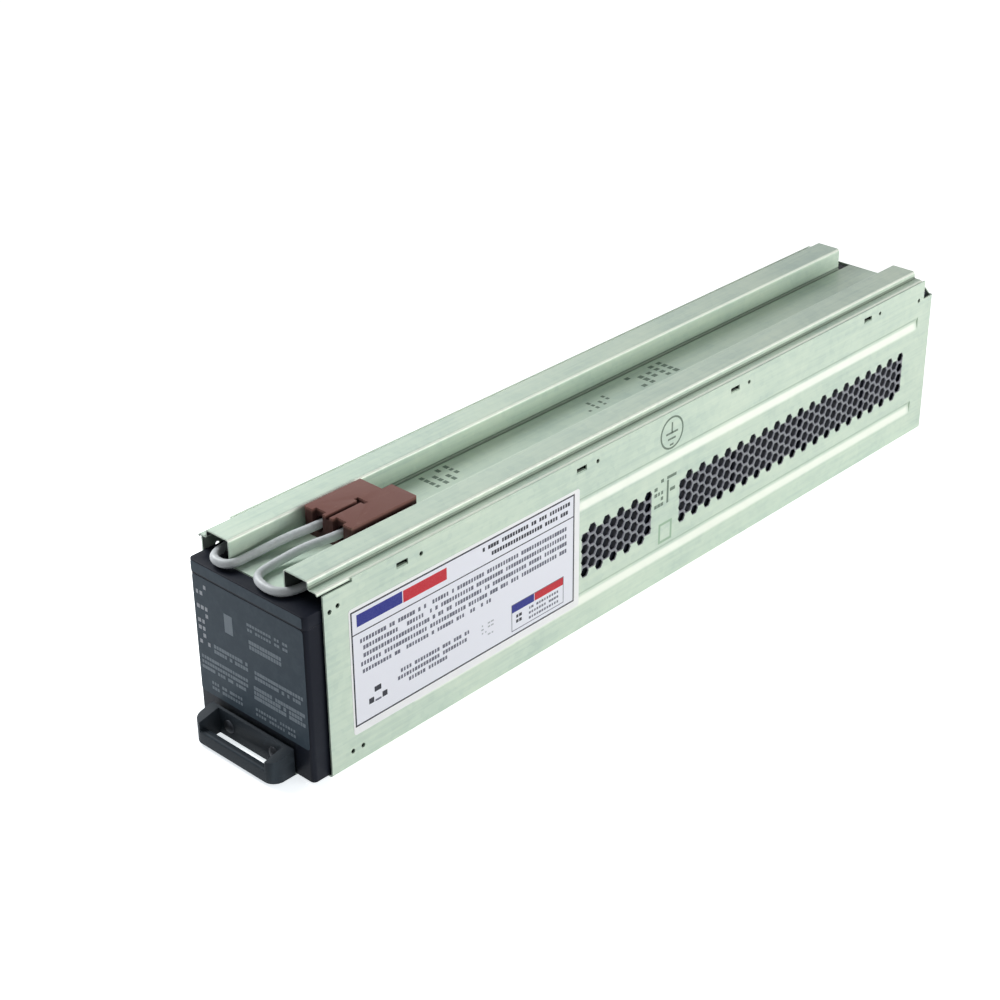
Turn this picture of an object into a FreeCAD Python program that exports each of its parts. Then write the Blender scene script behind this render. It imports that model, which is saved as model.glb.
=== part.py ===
"""Battery pack module: a folded steel tray with a row of batteries, a double-rail cover and two leads.

Frame: millimetres, origin at the middle of the underside, +Z up, the pull handle faces -Y.
"""
import FreeCAD, Part
import math
import os
import re
import Sketcher

SIZES = [
    ("battery_count", 8, "batteries in the row"),
    ("battery_length", 70, "one battery along the row"),
    ("battery_width", 90, "one battery across the row"),
    ("battery_height", 101, "one battery up to its lid"),
    ("battery_corner", 3, "rounding of a battery's upright edges"),
    ("battery_overhang", 11.25, "first battery ahead of the steel's front edge"),
    ("lid_height", 8, "height of a battery's lid"),
    ("lid_lip", 0.25, "lid beyond the container on every side"),
    ("shelf_length", 14, "terminal shelf along the row"),
    ("shelf_depth", 6, "terminal shelf below the lid's top"),
    ("shelf_end", 4, "lid wall left at each end of the shelf"),
    ("valve_depth", 0.6, "recess over the valves"),
    ("valve_width", 60, "recess across the row"),
    ("valve_length", 24, "recess along the row"),
    ("valve_offset", 10, "recess away from the terminal edge"),
    ("terminal_spread", 33, "terminal from the middle line"),
    ("terminal_inset", 8, "terminal from the lid's edge"),
    ("terminal_top", 5, "blade above the lid's top"),
    ("terminal_base_width", 6.4, "terminal base across"),
    ("terminal_base_length", 8, "terminal base along"),
    ("terminal_base_height", 1.6, "terminal base upwards"),
    ("blade_width", 6.35, "blade along the row"),
    ("blade_thickness", 0.8, "blade across the row"),
    ("boot_width", 7, "wire boot across the row"),
    ("boot_length", 9, "wire boot along the row"),
    ("boot_height", 8, "wire boot upwards"),
    ("boot_play", 0.3, "room round the blade in its boot"),
    ("boot_skin", 2, "boot above the blade"),
    ("link_diameter", 4, "wire between two batteries"),
    ("lead_diameter", 5, "wire that leaves the pack"),
    ("sheet", 1, "steel sheet"),
    ("bend", 1, "inner radius of a bend"),
    ("side_play", 1, "battery to wall, each side"),
    ("rear_play", 2.75, "last battery to the rear wall"),
    ("wall_rise", 10.5, "wall above the lids"),
    ("rear_rise", 0.5, "rear wall above the lids"),
    ("rear_drop", 2.5, "lowered wall end below the lids"),
    ("rear_step", 11.5, "lowered wall end along the row"),
    ("rear_ear", 3, "slope at each end of the rear wall's top"),
    ("notch_length", 20, "notch at the front of a wall's top"),
    ("notch_depth", 2.1, "same notch downwards"),
    ("bead_low", 21.8, "height of the lower bead"),
    ("bead_high", 83.7, "height of the upper bead"),
    ("bead_width", 8.6, "width of a bead"),
    ("bead_depth", 0.9, "depth of a bead"),
    ("bead_rise", 4.6, "long lower flank of a bead"),
    ("bead_fall", 2.4, "short upper flank of a bead"),
    ("bead_start", 60, "bead from the front edge"),
    ("bead_stop", 16.5, "bead from the rear face"),
    ("vent_flats", 6.2, "vent across its flats"),
    ("vent_column", 6.25, "step between vent columns"),
    ("vent_row", 7.55, "step between vents in a column"),
    ("vent_low", 37.7, "lowest vent"),
    ("vent_shift", 4.1, "second column above the first"),
    ("vent_rows", 4, "vents in a column"),
    ("vent_front", 198.6, "first column of the front field"),
    ("vent_front_pairs", 5, "column pairs of the front field"),
    ("vent_rear", 287, "first column of the rear field"),
    ("vent_rear_margin", 33, "rear field to the rear face"),
    ("slot_length", 8.3, "tab slot along the wall"),
    ("slot_height", 3.4, "tab slot upwards"),
    ("slot_drop", 6.7, "tab slot below the wall's top"),
    ("slot_before", 3.75, "tab slot ahead of its battery joint"),
    ("tab_reach", 2.8, "lanced tab into the tray"),
    ("tab_play", 0.2, "tab to slot, each end"),
    ("pin_hole", 2.6, "small round hole in the wall"),
    ("pin_after", 10, "round hole behind its battery joint"),
    ("corner_hole", 2.8, "round holes at the wall's corners"),
    ("upper_hole_one", 4, "first upper hole from the front edge"),
    ("upper_hole_one_drop", 2.4, "same hole below the lids"),
    ("upper_hole_two", 9.6, "second upper hole from the front edge"),
    ("upper_hole_two_drop", 1, "same hole below the lids"),
    ("lower_hole_one", 15, "first lower hole from the front edge"),
    ("lower_hole_two", 22.3, "second lower hole from the front edge"),
    ("lower_hole_level", 9.4, "lower holes above the ground"),
    ("rear_hole", 17.3, "rear hole from the rear face"),
    ("rear_hole_drop", 2, "same hole below the lids"),
    ("lip_height", 16, "front lip upwards"),
    ("lip_width", 61, "front lip across"),
    ("lip_play", 0.75, "battery to front lip"),
    ("shoulder_rise", 11, "cover's shoulder above the lids"),
    ("rail_rise", 15.5, "cover's rails above the lids"),
    ("rail_outer", 39.5, "rail's outer face from the middle line"),
    ("rail_inner", 21, "rail's channel face from the middle line"),
    ("flange_play", 0.1, "cover's flange to wall"),
    ("flange_drop", 9.8, "cover's flange below its shoulder"),
    ("cover_front", 2.6, "cover ahead of the steel's front edge"),
    ("cover_stop", 13.2, "rails' end from the rear face"),
    ("tongue_stop", 2, "channel floor's end from the rear face"),
    ("window_play", 0.6, "window in the flange round a tab slot"),
    ("handle_reach", 28, "handle ahead of the steel's front edge"),
    ("handle_width", 65, "handle across"),
    ("handle_plate", 1.5, "thickness of the handle's plate"),
    ("handle_foot", 2, "handle's underside above the ground"),
    ("handle_root", 18.4, "handle's top at its plate"),
    ("handle_tip", 15, "handle's arms at the bar"),
    ("grip_top", 10, "top of the bar"),
    ("grip_depth", 4.5, "bar from front to back"),
    ("arm_width", 6.4, "one arm across"),
    ("handle_corner", 7, "rounding of the bar's ends"),
    ("grip_round", 1.4, "rounding of the bar's edges"),
    ("rivet_spread", 18, "rivet from the middle line"),
    ("rivet_level", 9.5, "rivet above the ground"),
    ("rivet_shank", 4, "rivet's shank"),
    ("rivet_head", 8, "rivet's head"),
    ("rivet_head_height", 1.3, "head's thickness"),
    ("rivet_tail", 6, "rivet's closed end"),
    ("rivet_tail_height", 0.4, "closed end's thickness"),
    ("rivet_play", 0.1, "room round a rivet"),
    ("housing_width", 36.8, "connector across"),
    ("housing_length", 47.8, "connector along"),
    ("housing_height", 15.9, "connector upwards"),
    ("housing_start", 47, "connector behind the steel's front edge"),
    ("housing_corner", 1.2, "rounding of the connector's upright edges"),
    ("nose_length", 7, "connector's half-height noses"),
    ("nose_web", 2.4, "middle web between the noses"),
    ("pole_spread", 7.9, "pole from the middle line"),
    ("bore", 8, "wire bore of the connector"),
    ("bore_depth", 23, "same bore inwards"),
    ("entry_length", 3, "open top over the wire bores"),
    ("chamber", 10.4, "contact chamber, square"),
    ("web_hole", 3.2, "fixing hole in the middle web"),
    ("web_hole_first", 9, "first fixing hole from the wire end"),
    ("web_hole_step", 15, "second fixing hole behind the first"),
    ("groove_width", 3, "centre groove of the connector's top"),
    ("groove_length", 25.5, "same groove from the wire end"),
    ("groove_depth", 2.2, "same groove downwards"),
    ("cross_width", 8, "cross slot at the groove's end, across"),
    ("cross_length", 3, "cross slot along"),
    ("rib_first", 19, "first side rib from the wire end"),
    ("rib_step", 6.5, "step between side ribs"),
    ("rib_count", 4, "ribs on each side"),
    ("rib_width", 1.4, "rib along the connector"),
    ("rib_depth", 0.8, "rib beyond the side"),
    ("rib_low", 2, "rib's foot above the connector's underside"),
    ("rib_height", 10, "rib upwards"),
    ("barrel", 7.4, "contact's barrel"),
    ("barrel_length", 12, "same barrel along"),
    ("wire_seat", 11, "barrel's front from the wire end"),
    ("contact_width", 8, "contact's blade across"),
    ("contact_thickness", 2.2, "contact's blade upwards"),
    ("contact_stop", 1.6, "blade's end from the nose's end"),
    ("label_start", 16.3, "side label from the front edge"),
    ("label_length", 177, "side label along"),
    ("label_low", 18.2, "side label's lower edge"),
    ("label_height", 76.6, "side label upwards"),
    ("label_film", 0.2, "thickness of a label"),
    ("front_label_width", 86, "front label across"),
    ("front_label_low", 20, "front label's lower edge on the container"),
    ("front_label_height", 72.5, "front label upwards"),
    ("pad_width", 70, "rear pad across"),
    ("pad_low", 10, "rear pad's lower edge"),
    ("pad_height", 75, "rear pad upwards"),
    ("wire_grip", 0.8, "wire's end inside its boot"),
    ("wire_drop", 0.5, "wire's middle below the blade's top"),
    ("lead_play", 0.4, "held lead above the lid or shelf under it"),
    ("rail_play", 1, "held lead to the rail's channel side"),
    ("crossing_after", 1.75, "crossing lead behind the last terminals' middle"),
    ("crossing_turn", 8, "crossing lead's turn into the rail"),
    ("crossing_climb", 10, "crossing lead's climb out of the shelf"),
    ("mouth_depth", 8, "held part of a lead ends behind the front edge"),
]

# Sizes that follow from the driving ones, written with their names.
STEEL_LENGTH = "(battery_count * battery_length - battery_overhang + rear_play + sheet)"
FRONT = f"((handle_reach - {STEEL_LENGTH}) / 2)"
HALF_WIDTH = "(battery_width / 2 + side_play + sheet)"
LID_TOP = "(sheet + battery_height)"
WALL_TOP = f"({LID_TOP} + wall_rise)"
FLOOR_TOP = f"({LID_TOP} + sheet)"
SHOULDER = f"({LID_TOP} + shoulder_rise)"
RAIL_TOP = f"({LID_TOP} + rail_rise)"
FLANGE = f"({HALF_WIDTH} - sheet - flange_play)"
SLOT_LEVEL = f"({WALL_TOP} - slot_drop)"
FIRST_JOINT = "(battery_length - battery_overhang)"
LIP_BACK = "(-battery_overhang - lip_play)"
WIRE_LEVEL = f"({LID_TOP} + terminal_top - wire_drop)"

X_DIRECTION = FreeCAD.Vector(1, 0, 0)
Y_DIRECTION = FreeCAD.Vector(0, 1, 0)
Z_DIRECTION = FreeCAD.Vector(0, 0, 1)
NEAR = 1e-4

doc = FreeCAD.newDocument("battery_pack")
sheet = doc.addObject("Spreadsheet::Sheet", "Dims")
for row, (alias, value, meaning) in enumerate(SIZES, start=1):
    sheet.set(f"A{row}", meaning)
    sheet.set(f"B{row}", str(value))
    sheet.setAlias(f"B{row}", alias)
doc.recompute()

ALIASES = {alias for alias, value, meaning in SIZES}
nodes = []


def named(text):
    """Return an expression in which every size is read from the sheet."""
    def on_sheet(match):
        word = match.group(0)
        return f"Dims.{word}" if word in ALIASES else word
    return re.sub(r"[a-z][a-z_]*", on_sheet, str(text))


def bind(thing, path, text):
    """Bind one property of a thing to an expression of sizes."""
    thing.setExpression(path, named(text))


def size(alias):
    """Return one driving size as a number."""
    return float(sheet.get(alias))


def deliver(thing, label):
    """Name a finished sub-part and put it on the list of files."""
    thing.Label = label
    nodes.append(thing)
    return thing


def place(thing, x=None, y=None, z=None, turned=False):
    """Bind a sub-part's place; a turned one looks the other way along the row."""
    if turned:
        thing.Placement = FreeCAD.Placement(FreeCAD.Vector(), FreeCAD.Rotation(Z_DIRECTION, 180))
    for axis, text in (("x", x), ("y", y), ("z", z)):
        if text is not None:
            bind(thing, f"Placement.Base.{axis}", text)


def origin_part(body, role):
    """Return a plane or axis of the body's own origin."""
    return next(item for item in body.Origin.OriginFeatures if item.Role == role)


def sketch_on(body, plane, standoff=None):
    """Start a sketch on an origin plane of the body, moved along the plane's normal."""
    sketch = body.newObject("Sketcher::SketchObject", "outline")
    sketch.AttachmentSupport = [(origin_part(body, plane), "")]
    sketch.MapMode = "FlatFace"
    if standoff is not None:
        bind(sketch, "AttachmentOffset.Base.z", standoff)
    return sketch


def add_polygon(sketch, corners):
    """Draw a closed polygon whose corners are expressions of sizes."""
    count = len(corners)
    first = sketch.GeometryCount
    start = sketch.ConstraintCount
    rough = []
    for index in range(count):
        angle = 2 * math.pi * index / count
        rough.append(FreeCAD.Vector(10 * math.cos(angle), 10 * math.sin(angle), 0))
    lines = [Part.LineSegment(rough[index], rough[(index + 1) % count]) for index in range(count)]
    sketch.addGeometry(lines, False)
    rules = []
    for index in range(count):
        rules.append(Sketcher.Constraint("Coincident", first + index, 2, first + (index + 1) % count, 1))
    for index in range(count):
        rules.append(Sketcher.Constraint("DistanceX", -1, 1, first + index, 1, rough[index].x))
        rules.append(Sketcher.Constraint("DistanceY", -1, 1, first + index, 1, rough[index].y))
    sketch.addConstraint(rules)
    for index, (across, up) in enumerate(corners):
        bind(sketch, f"Constraints[{start + count + 2 * index}]", across)
        bind(sketch, f"Constraints[{start + count + 2 * index + 1}]", up)


def add_rectangle(sketch, left, low, right, high):
    """Draw a rectangle between two corners."""
    add_polygon(sketch, [(left, low), (right, low), (right, high), (left, high)])


def add_circle(sketch, across, up, diameter):
    """Draw a circle with a bound middle and diameter."""
    index = sketch.GeometryCount
    start = sketch.ConstraintCount
    sketch.addGeometry(Part.Circle(FreeCAD.Vector(1, 1, 0), Z_DIRECTION, 1), False)
    sketch.addConstraint([
        Sketcher.Constraint("DistanceX", -1, 1, index, 3, 1),
        Sketcher.Constraint("DistanceY", -1, 1, index, 3, 1),
        Sketcher.Constraint("Diameter", index, 2),
    ])
    bind(sketch, f"Constraints[{start}]", across)
    bind(sketch, f"Constraints[{start + 1}]", up)
    bind(sketch, f"Constraints[{start + 2}]", diameter)


def pad(body, sketch, length, reverse=False, both=False):
    """Add material over a sketch."""
    feature = body.newObject("PartDesign::Pad", "pad")
    feature.Profile = sketch
    feature.Reversed = reverse
    if both:
        feature.SideType = "Symmetric"
    bind(feature, "Length", length)
    sketch.Visibility = False
    return feature


def cut(body, sketch, length=None, reverse=False, both=False):
    """Take material away over a sketch, through everything unless a length is given."""
    feature = body.newObject("PartDesign::Pocket", "pocket")
    feature.Profile = sketch
    feature.Reversed = reverse
    if both:
        feature.SideType = "Symmetric"
    if length is None:
        feature.Type = "ThroughAll"
    else:
        bind(feature, "Length", length)
    sketch.Visibility = False
    return feature


def repeat(body, features, axis, count, step):
    """Repeat features along one origin axis of the body."""
    pattern = body.newObject("PartDesign::LinearPattern", "row")
    pattern.Originals = features
    pattern.Direction = (origin_part(body, axis), [""])
    pattern.Mode = "Spacing"
    bind(pattern, "Offset", step)
    bind(pattern, "Occurrences", count)
    body.Tip = pattern
    return pattern


def middle(edge):
    """Return the point halfway along an edge."""
    return edge.valueAt((edge.FirstParameter + edge.LastParameter) / 2)


def runs_along(edge, direction):
    """Tell whether an edge is straight and parallel to a direction."""
    if edge.Degenerated or edge.Curve.TypeId != "Part::GeomLine":
        return False
    return abs(edge.tangentAt(edge.FirstParameter).dot(direction)) > 0.9999


def filled_quarters(shape, edge, first, second):
    """Count the quarters round an edge that hold material: one at an outer edge, three at an inner."""
    point = middle(edge)
    step = 0.05
    count = 0
    for one in (-step, step):
        for two in (-step, step):
            if shape.isInside(point + first * one + second * two, NEAR, True):
                count += 1
    return count


def round_edges(body, radius, wanted):
    """Round every edge of the body that the test accepts."""
    doc.recompute()
    base = body.Tip
    names = []
    for number, edge in enumerate(base.Shape.Edges, start=1):
        if wanted(base.Shape, edge):
            names.append(f"Edge{number}")
    feature = body.newObject("PartDesign::Fillet", "rounding")
    feature.Base = (base, names)
    bind(feature, "Radius", radius)
    return feature


def new_body(label):
    """Start a sub-part that is built from sketches."""
    return deliver(doc.addObject("PartDesign::Body", label), label)


def box(name, length, width, height, x, y, z):
    """Make a block with bound sizes and a bound lowest corner."""
    block = doc.addObject("Part::Box", name)
    bind(block, "Length", length)
    bind(block, "Width", width)
    bind(block, "Height", height)
    place(block, x, y, z)
    return block


def rod_along_y(name, diameter, length, x, y, z):
    """Make a round rod that starts at a bound point and runs to +Y."""
    rod = doc.addObject("Part::Cylinder", name)
    rod.Placement = FreeCAD.Placement(FreeCAD.Vector(), FreeCAD.Rotation(X_DIRECTION, -90))
    bind(rod, "Radius", f"({diameter}) / 2")
    bind(rod, "Height", length)
    place(rod, x, y, z)
    return rod


def fuse(pieces, label):
    """Join blocks and rods into one sub-part."""
    joined = doc.addObject("Part::MultiFuse", label)
    joined.Shapes = pieces
    joined.Refine = True
    return deliver(joined, label)


def build_tray():
    """Fold the tray: floor, walls, rear wall, front lip, beads, vents, slots and tabs."""
    body = new_body("tray")
    section = sketch_on(body, "XZ_Plane")
    inner = f"({HALF_WIDTH} - sheet)"
    add_polygon(section, [
        (f"-{HALF_WIDTH}", WALL_TOP), (f"-{HALF_WIDTH}", "0"), (HALF_WIDTH, "0"), (HALF_WIDTH, WALL_TOP),
        (inner, WALL_TOP), (inner, "sheet"), (f"-{inner}", "sheet"), (f"-{inner}", WALL_TOP),
    ])
    pad(body, section, STEEL_LENGTH, reverse=True)

    # The walls step down towards the rear wall and at their front corners.
    steps = sketch_on(body, "YZ_Plane")
    add_rectangle(steps, f"{STEEL_LENGTH} - rear_step", f"{LID_TOP} - rear_drop",
                  f"{STEEL_LENGTH} + 1", f"{WALL_TOP} + 1")
    add_rectangle(steps, "-1", f"{WALL_TOP} - notch_depth", "notch_length", f"{WALL_TOP} + 1")
    cut(body, steps, both=True)

    rear = sketch_on(body, "XZ_Plane", f"sheet - {STEEL_LENGTH}")
    ear = f"({HALF_WIDTH} - rear_ear)"
    low_end = f"({LID_TOP} - rear_drop)"
    add_polygon(rear, [
        (f"-{HALF_WIDTH}", "0"), (HALF_WIDTH, "0"), (HALF_WIDTH, low_end), (ear, low_end),
        (f"{ear} - rear_ear", f"{LID_TOP} + rear_rise"), (f"-({ear} - rear_ear)", f"{LID_TOP} + rear_rise"),
        (f"-{ear}", low_end), (f"-{HALF_WIDTH}", low_end),
    ])
    pad(body, rear, "sheet", reverse=True)

    # Bends: outer edges take the larger radius, inner edges the smaller one.
    half_width = size("battery_width") / 2 + size("side_play") + size("sheet")

    def is_bend(shape, edge, quarters):
        point = middle(edge)
        if runs_along(edge, Y_DIRECTION) and point.z < 2 * size("sheet"):
            return filled_quarters(shape, edge, X_DIRECTION, Z_DIRECTION) == quarters
        if runs_along(edge, X_DIRECTION) and point.z < 2 * size("sheet") and point.y > 10:
            return filled_quarters(shape, edge, Y_DIRECTION, Z_DIRECTION) == quarters
        if runs_along(edge, Z_DIRECTION) and point.y > 10 and abs(point.x) > half_width - 2 * size("sheet"):
            if point.z > size("battery_height") - size("rear_drop"):
                return False
            return filled_quarters(shape, edge, X_DIRECTION, Y_DIRECTION) == quarters
        return False

    round_edges(body, "bend + sheet", lambda shape, edge: is_bend(shape, edge, 1))
    round_edges(body, "bend", lambda shape, edge: is_bend(shape, edge, 3))

    # The floor runs on under the first battery and turns up as a lip that carries the handle.
    lip = sketch_on(body, "YZ_Plane")
    add_polygon(lip, [
        ("sheet", "0"), (f"{LIP_BACK} - sheet", "0"), (f"{LIP_BACK} - sheet", "lip_height"),
        (LIP_BACK, "lip_height"), (LIP_BACK, "sheet"), ("sheet", "sheet"),
    ])
    pad(body, lip, "lip_width", both=True)
    lip_back = -size("battery_overhang") - size("lip_play")

    def is_lip_bend(shape, edge, quarters):
        point = middle(edge)
        if not runs_along(edge, X_DIRECTION) or point.y > lip_back + NEAR or point.z > 2 * size("sheet"):
            return False
        return filled_quarters(shape, edge, Y_DIRECTION, Z_DIRECTION) == quarters

    round_edges(body, "bend + sheet", lambda shape, edge: is_lip_bend(shape, edge, 1))
    round_edges(body, "bend", lambda shape, edge: is_lip_bend(shape, edge, 3))
    rivet_holes = sketch_on(body, "XZ_Plane")
    for sign in ("", "-"):
        add_circle(rivet_holes, f"{sign}rivet_spread", "rivet_level", "rivet_shank + 2 * rivet_play")
    cut(body, rivet_holes, "battery_overhang + 3 * sheet", reverse=True)

    # Slots with lanced tabs, one for every second battery joint, and a small hole beside each.
    slot_middle = f"({FIRST_JOINT} - slot_before)"
    slot = sketch_on(body, "YZ_Plane")
    add_rectangle(slot, f"{slot_middle} - slot_length / 2", f"{SLOT_LEVEL} - slot_height / 2",
                  f"{slot_middle} + slot_length / 2", f"{SLOT_LEVEL} + slot_height / 2")
    add_circle(slot, f"{FIRST_JOINT} + pin_after", SLOT_LEVEL, "pin_hole")
    slot_cut = cut(body, slot, both=True)
    tab_start = f"({slot_middle} - slot_length / 2 + tab_play)"
    tabs = sketch_on(body, "XZ_Plane", f"-{tab_start}")
    for sign in ("", "-"):
        add_rectangle(tabs, f"{sign}({inner} - tab_reach)", f"{SLOT_LEVEL} - slot_height / 2 - sheet / 2",
                      f"{sign}({inner} + sheet / 2)", f"{SLOT_LEVEL} - slot_height / 2 + sheet / 2")
    tab_pad = pad(body, tabs, "slot_length - 2 * tab_play", reverse=True)
    repeat(body, [slot_cut, tab_pad], "Y_Axis", "battery_count / 2", "2 * battery_length")

    # Round holes near the corners of the walls.
    holes = sketch_on(body, "YZ_Plane")
    for along, up in (
        ("upper_hole_one", f"{LID_TOP} - upper_hole_one_drop"),
        ("upper_hole_two", f"{LID_TOP} - upper_hole_two_drop"),
        ("lower_hole_one", "lower_hole_level"),
        ("lower_hole_two", "lower_hole_level"),
        (f"{STEEL_LENGTH} - rear_hole", f"{LID_TOP} - rear_hole_drop"),
    ):
        add_circle(holes, along, up, "corner_hole")
    cut(body, holes, both=True)

    # Honeycomb vents through both walls: two staggered columns of hexagons, repeated along the row.
    rear_room = f"({STEEL_LENGTH} - vent_rear_margin - vent_rear - vent_column)"
    rear_pairs = f"floor({rear_room} / (2 * vent_column)) + 1"
    for start, pairs in (("vent_front", "vent_front_pairs"), ("vent_rear", rear_pairs)):
        columns = sketch_on(body, "YZ_Plane")
        half = "vent_flats / 2"
        corner = "vent_flats / 1.732050808"
        for along, first in ((start, "vent_low"), (f"({start} + vent_column)", "vent_low + vent_shift")):
            for row in range(int(size("vent_rows"))):
                up = f"({first} + {row} * vent_row)"
                add_polygon(columns, [
                    (f"{along} + {corner}", up),
                    (f"{along} + {corner} / 2", f"{up} + {half}"),
                    (f"{along} - {corner} / 2", f"{up} + {half}"),
                    (f"{along} - {corner}", up),
                    (f"{along} - {corner} / 2", f"{up} - {half}"),
                    (f"{along} + {corner} / 2", f"{up} - {half}"),
                ])
        vents = cut(body, columns, both=True)
        repeat(body, [vents], "Y_Axis", pairs, "2 * vent_column")

    # Two long beads in each wall: pressed in from outside, standing out inside.
    bead_length = f"{STEEL_LENGTH} - bead_start - bead_stop"
    for outside in (False, True):
        beads = sketch_on(body, "XZ_Plane", "-bead_start")
        skin = HALF_WIDTH if outside else inner
        lift = "1" if outside else "0.3"
        for sign in ("", "-"):
            for level in ("bead_low", "bead_high"):
                top = f"{level} + bead_width / 2"
                low = f"{level} - bead_width / 2"
                add_polygon(beads, [
                    (f"{sign}({skin} + {lift})", low), (f"{sign}{skin}", low),
                    (f"{sign}({skin} - bead_depth)", f"{low} + bead_rise"),
                    (f"{sign}({skin} - bead_depth)", f"{top} - bead_fall"),
                    (f"{sign}{skin}", top), (f"{sign}({skin} + {lift})", top),
                ])
        if outside:
            cut(body, beads, bead_length, reverse=False)
        else:
            pad(body, beads, bead_length, reverse=True)
    place(body, y=FRONT)


def build_cover():
    """Fold the cover: channel floor, two hollow rails, shoulders and flanges."""
    body = new_body("top_cover")
    bottom = f"({SHOULDER} - flange_drop)"
    outer = [
        (FLANGE, bottom), (FLANGE, SHOULDER), ("rail_outer", SHOULDER), ("rail_outer", RAIL_TOP),
        ("rail_inner", RAIL_TOP), ("rail_inner", FLOOR_TOP),
    ]
    under = [
        ("(rail_inner + sheet)", LID_TOP), ("(rail_inner + sheet)", f"{RAIL_TOP} - sheet"),
        ("(rail_outer - sheet)", f"{RAIL_TOP} - sheet"), ("(rail_outer - sheet)", f"{SHOULDER} - sheet"),
        (f"({FLANGE} - sheet)", f"{SHOULDER} - sheet"), (f"({FLANGE} - sheet)", bottom),
    ]
    corners = []
    corners += outer
    corners += [(f"-{across}", up) for across, up in reversed(outer)]
    corners += [(f"-{across}", up) for across, up in reversed(under)]
    corners += under
    section = sketch_on(body, "XZ_Plane", "cover_front")
    add_polygon(section, corners)
    pad(body, section, f"{STEEL_LENGTH} + cover_front - tongue_stop", reverse=True)

    flange_bottom = size("sheet") + size("battery_height") + size("shoulder_rise") - size("flange_drop")

    def is_fold(shape, edge, quarters):
        if not runs_along(edge, Y_DIRECTION) or abs(middle(edge).z - flange_bottom) < NEAR:
            return False
        return filled_quarters(shape, edge, X_DIRECTION, Z_DIRECTION) == quarters

    round_edges(body, "bend + sheet", lambda shape, edge: is_fold(shape, edge, 1))
    round_edges(body, "bend", lambda shape, edge: is_fold(shape, edge, 3))

    # Behind the rails only the channel floor goes on to the rear wall.
    tail = sketch_on(body, "XY_Plane", f"{LID_TOP} - flange_drop")
    for sign in ("", "-"):
        add_rectangle(tail, f"{sign}(rail_inner - bend - sheet / 2)", f"{STEEL_LENGTH} - cover_stop",
                      f"{sign}({HALF_WIDTH} + 1)", f"{STEEL_LENGTH} + 1")
    cut(body, tail, reverse=True)

    # A folded tab closes each rail and shoulder at the rear end.
    lap = "0.9 * sheet"
    ends = sketch_on(body, "XZ_Plane", f"cover_stop + sheet - {STEEL_LENGTH}")
    foot = f"({LID_TOP} + 2 * sheet + bend)"
    for sign in ("", "-"):
        add_polygon(ends, [
            (f"{sign}(rail_inner + {lap})", foot), (f"{sign}({FLANGE} - {lap})", foot),
            (f"{sign}({FLANGE} - {lap})", f"{SHOULDER} - {lap}"),
            (f"{sign}(rail_outer - {lap})", f"{SHOULDER} - {lap}"),
            (f"{sign}(rail_outer - {lap})", f"{RAIL_TOP} - {lap}"),
            (f"{sign}(rail_inner + {lap})", f"{RAIL_TOP} - {lap}"),
        ])
    pad(body, ends, "sheet", reverse=True)

    # The flanges stop behind the walls' front notch.
    relief = sketch_on(body, "XY_Plane", f"{LID_TOP} - flange_drop")
    for sign in ("", "-"):
        add_rectangle(relief, f"{sign}({FLANGE} - sheet - bend)", "-cover_front - 1",
                      f"{sign}({HALF_WIDTH} + 1)", "notch_length")
    cut(body, relief, "flange_drop + shoulder_rise - sheet - bend", reverse=True)

    # Long windows for the tray's tabs and small holes.
    slot_middle = f"({FIRST_JOINT} - slot_before)"
    for sign in ("", "-"):
        windows = sketch_on(body, "YZ_Plane", f"{sign}(rail_outer + sheet)")
        reach = "slot_height / 2 + window_play + sheet / 2"
        add_rectangle(windows, f"{slot_middle} - slot_length / 2 - window_play", f"{SLOT_LEVEL} - ({reach})",
                      f"{FIRST_JOINT} + pin_after + pin_hole",
                      f"{SLOT_LEVEL} + slot_height / 2 + window_play")
        window_cut = cut(body, windows, f"{HALF_WIDTH} - rail_outer", reverse=sign == "")
        repeat(body, [window_cut], "Y_Axis", "battery_count / 2", "2 * battery_length")
    place(body, y=FRONT)


def battery_middle(number):
    """Return the expression for the middle of one battery along the row."""
    return f"{FRONT} - battery_overhang + ({number} - 0.5) * battery_length"


def is_upright(shape, edge):
    """Tell whether an edge stands upright at an outer corner."""
    return runs_along(edge, Z_DIRECTION) and filled_quarters(shape, edge, X_DIRECTION, Y_DIRECTION) == 1


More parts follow.
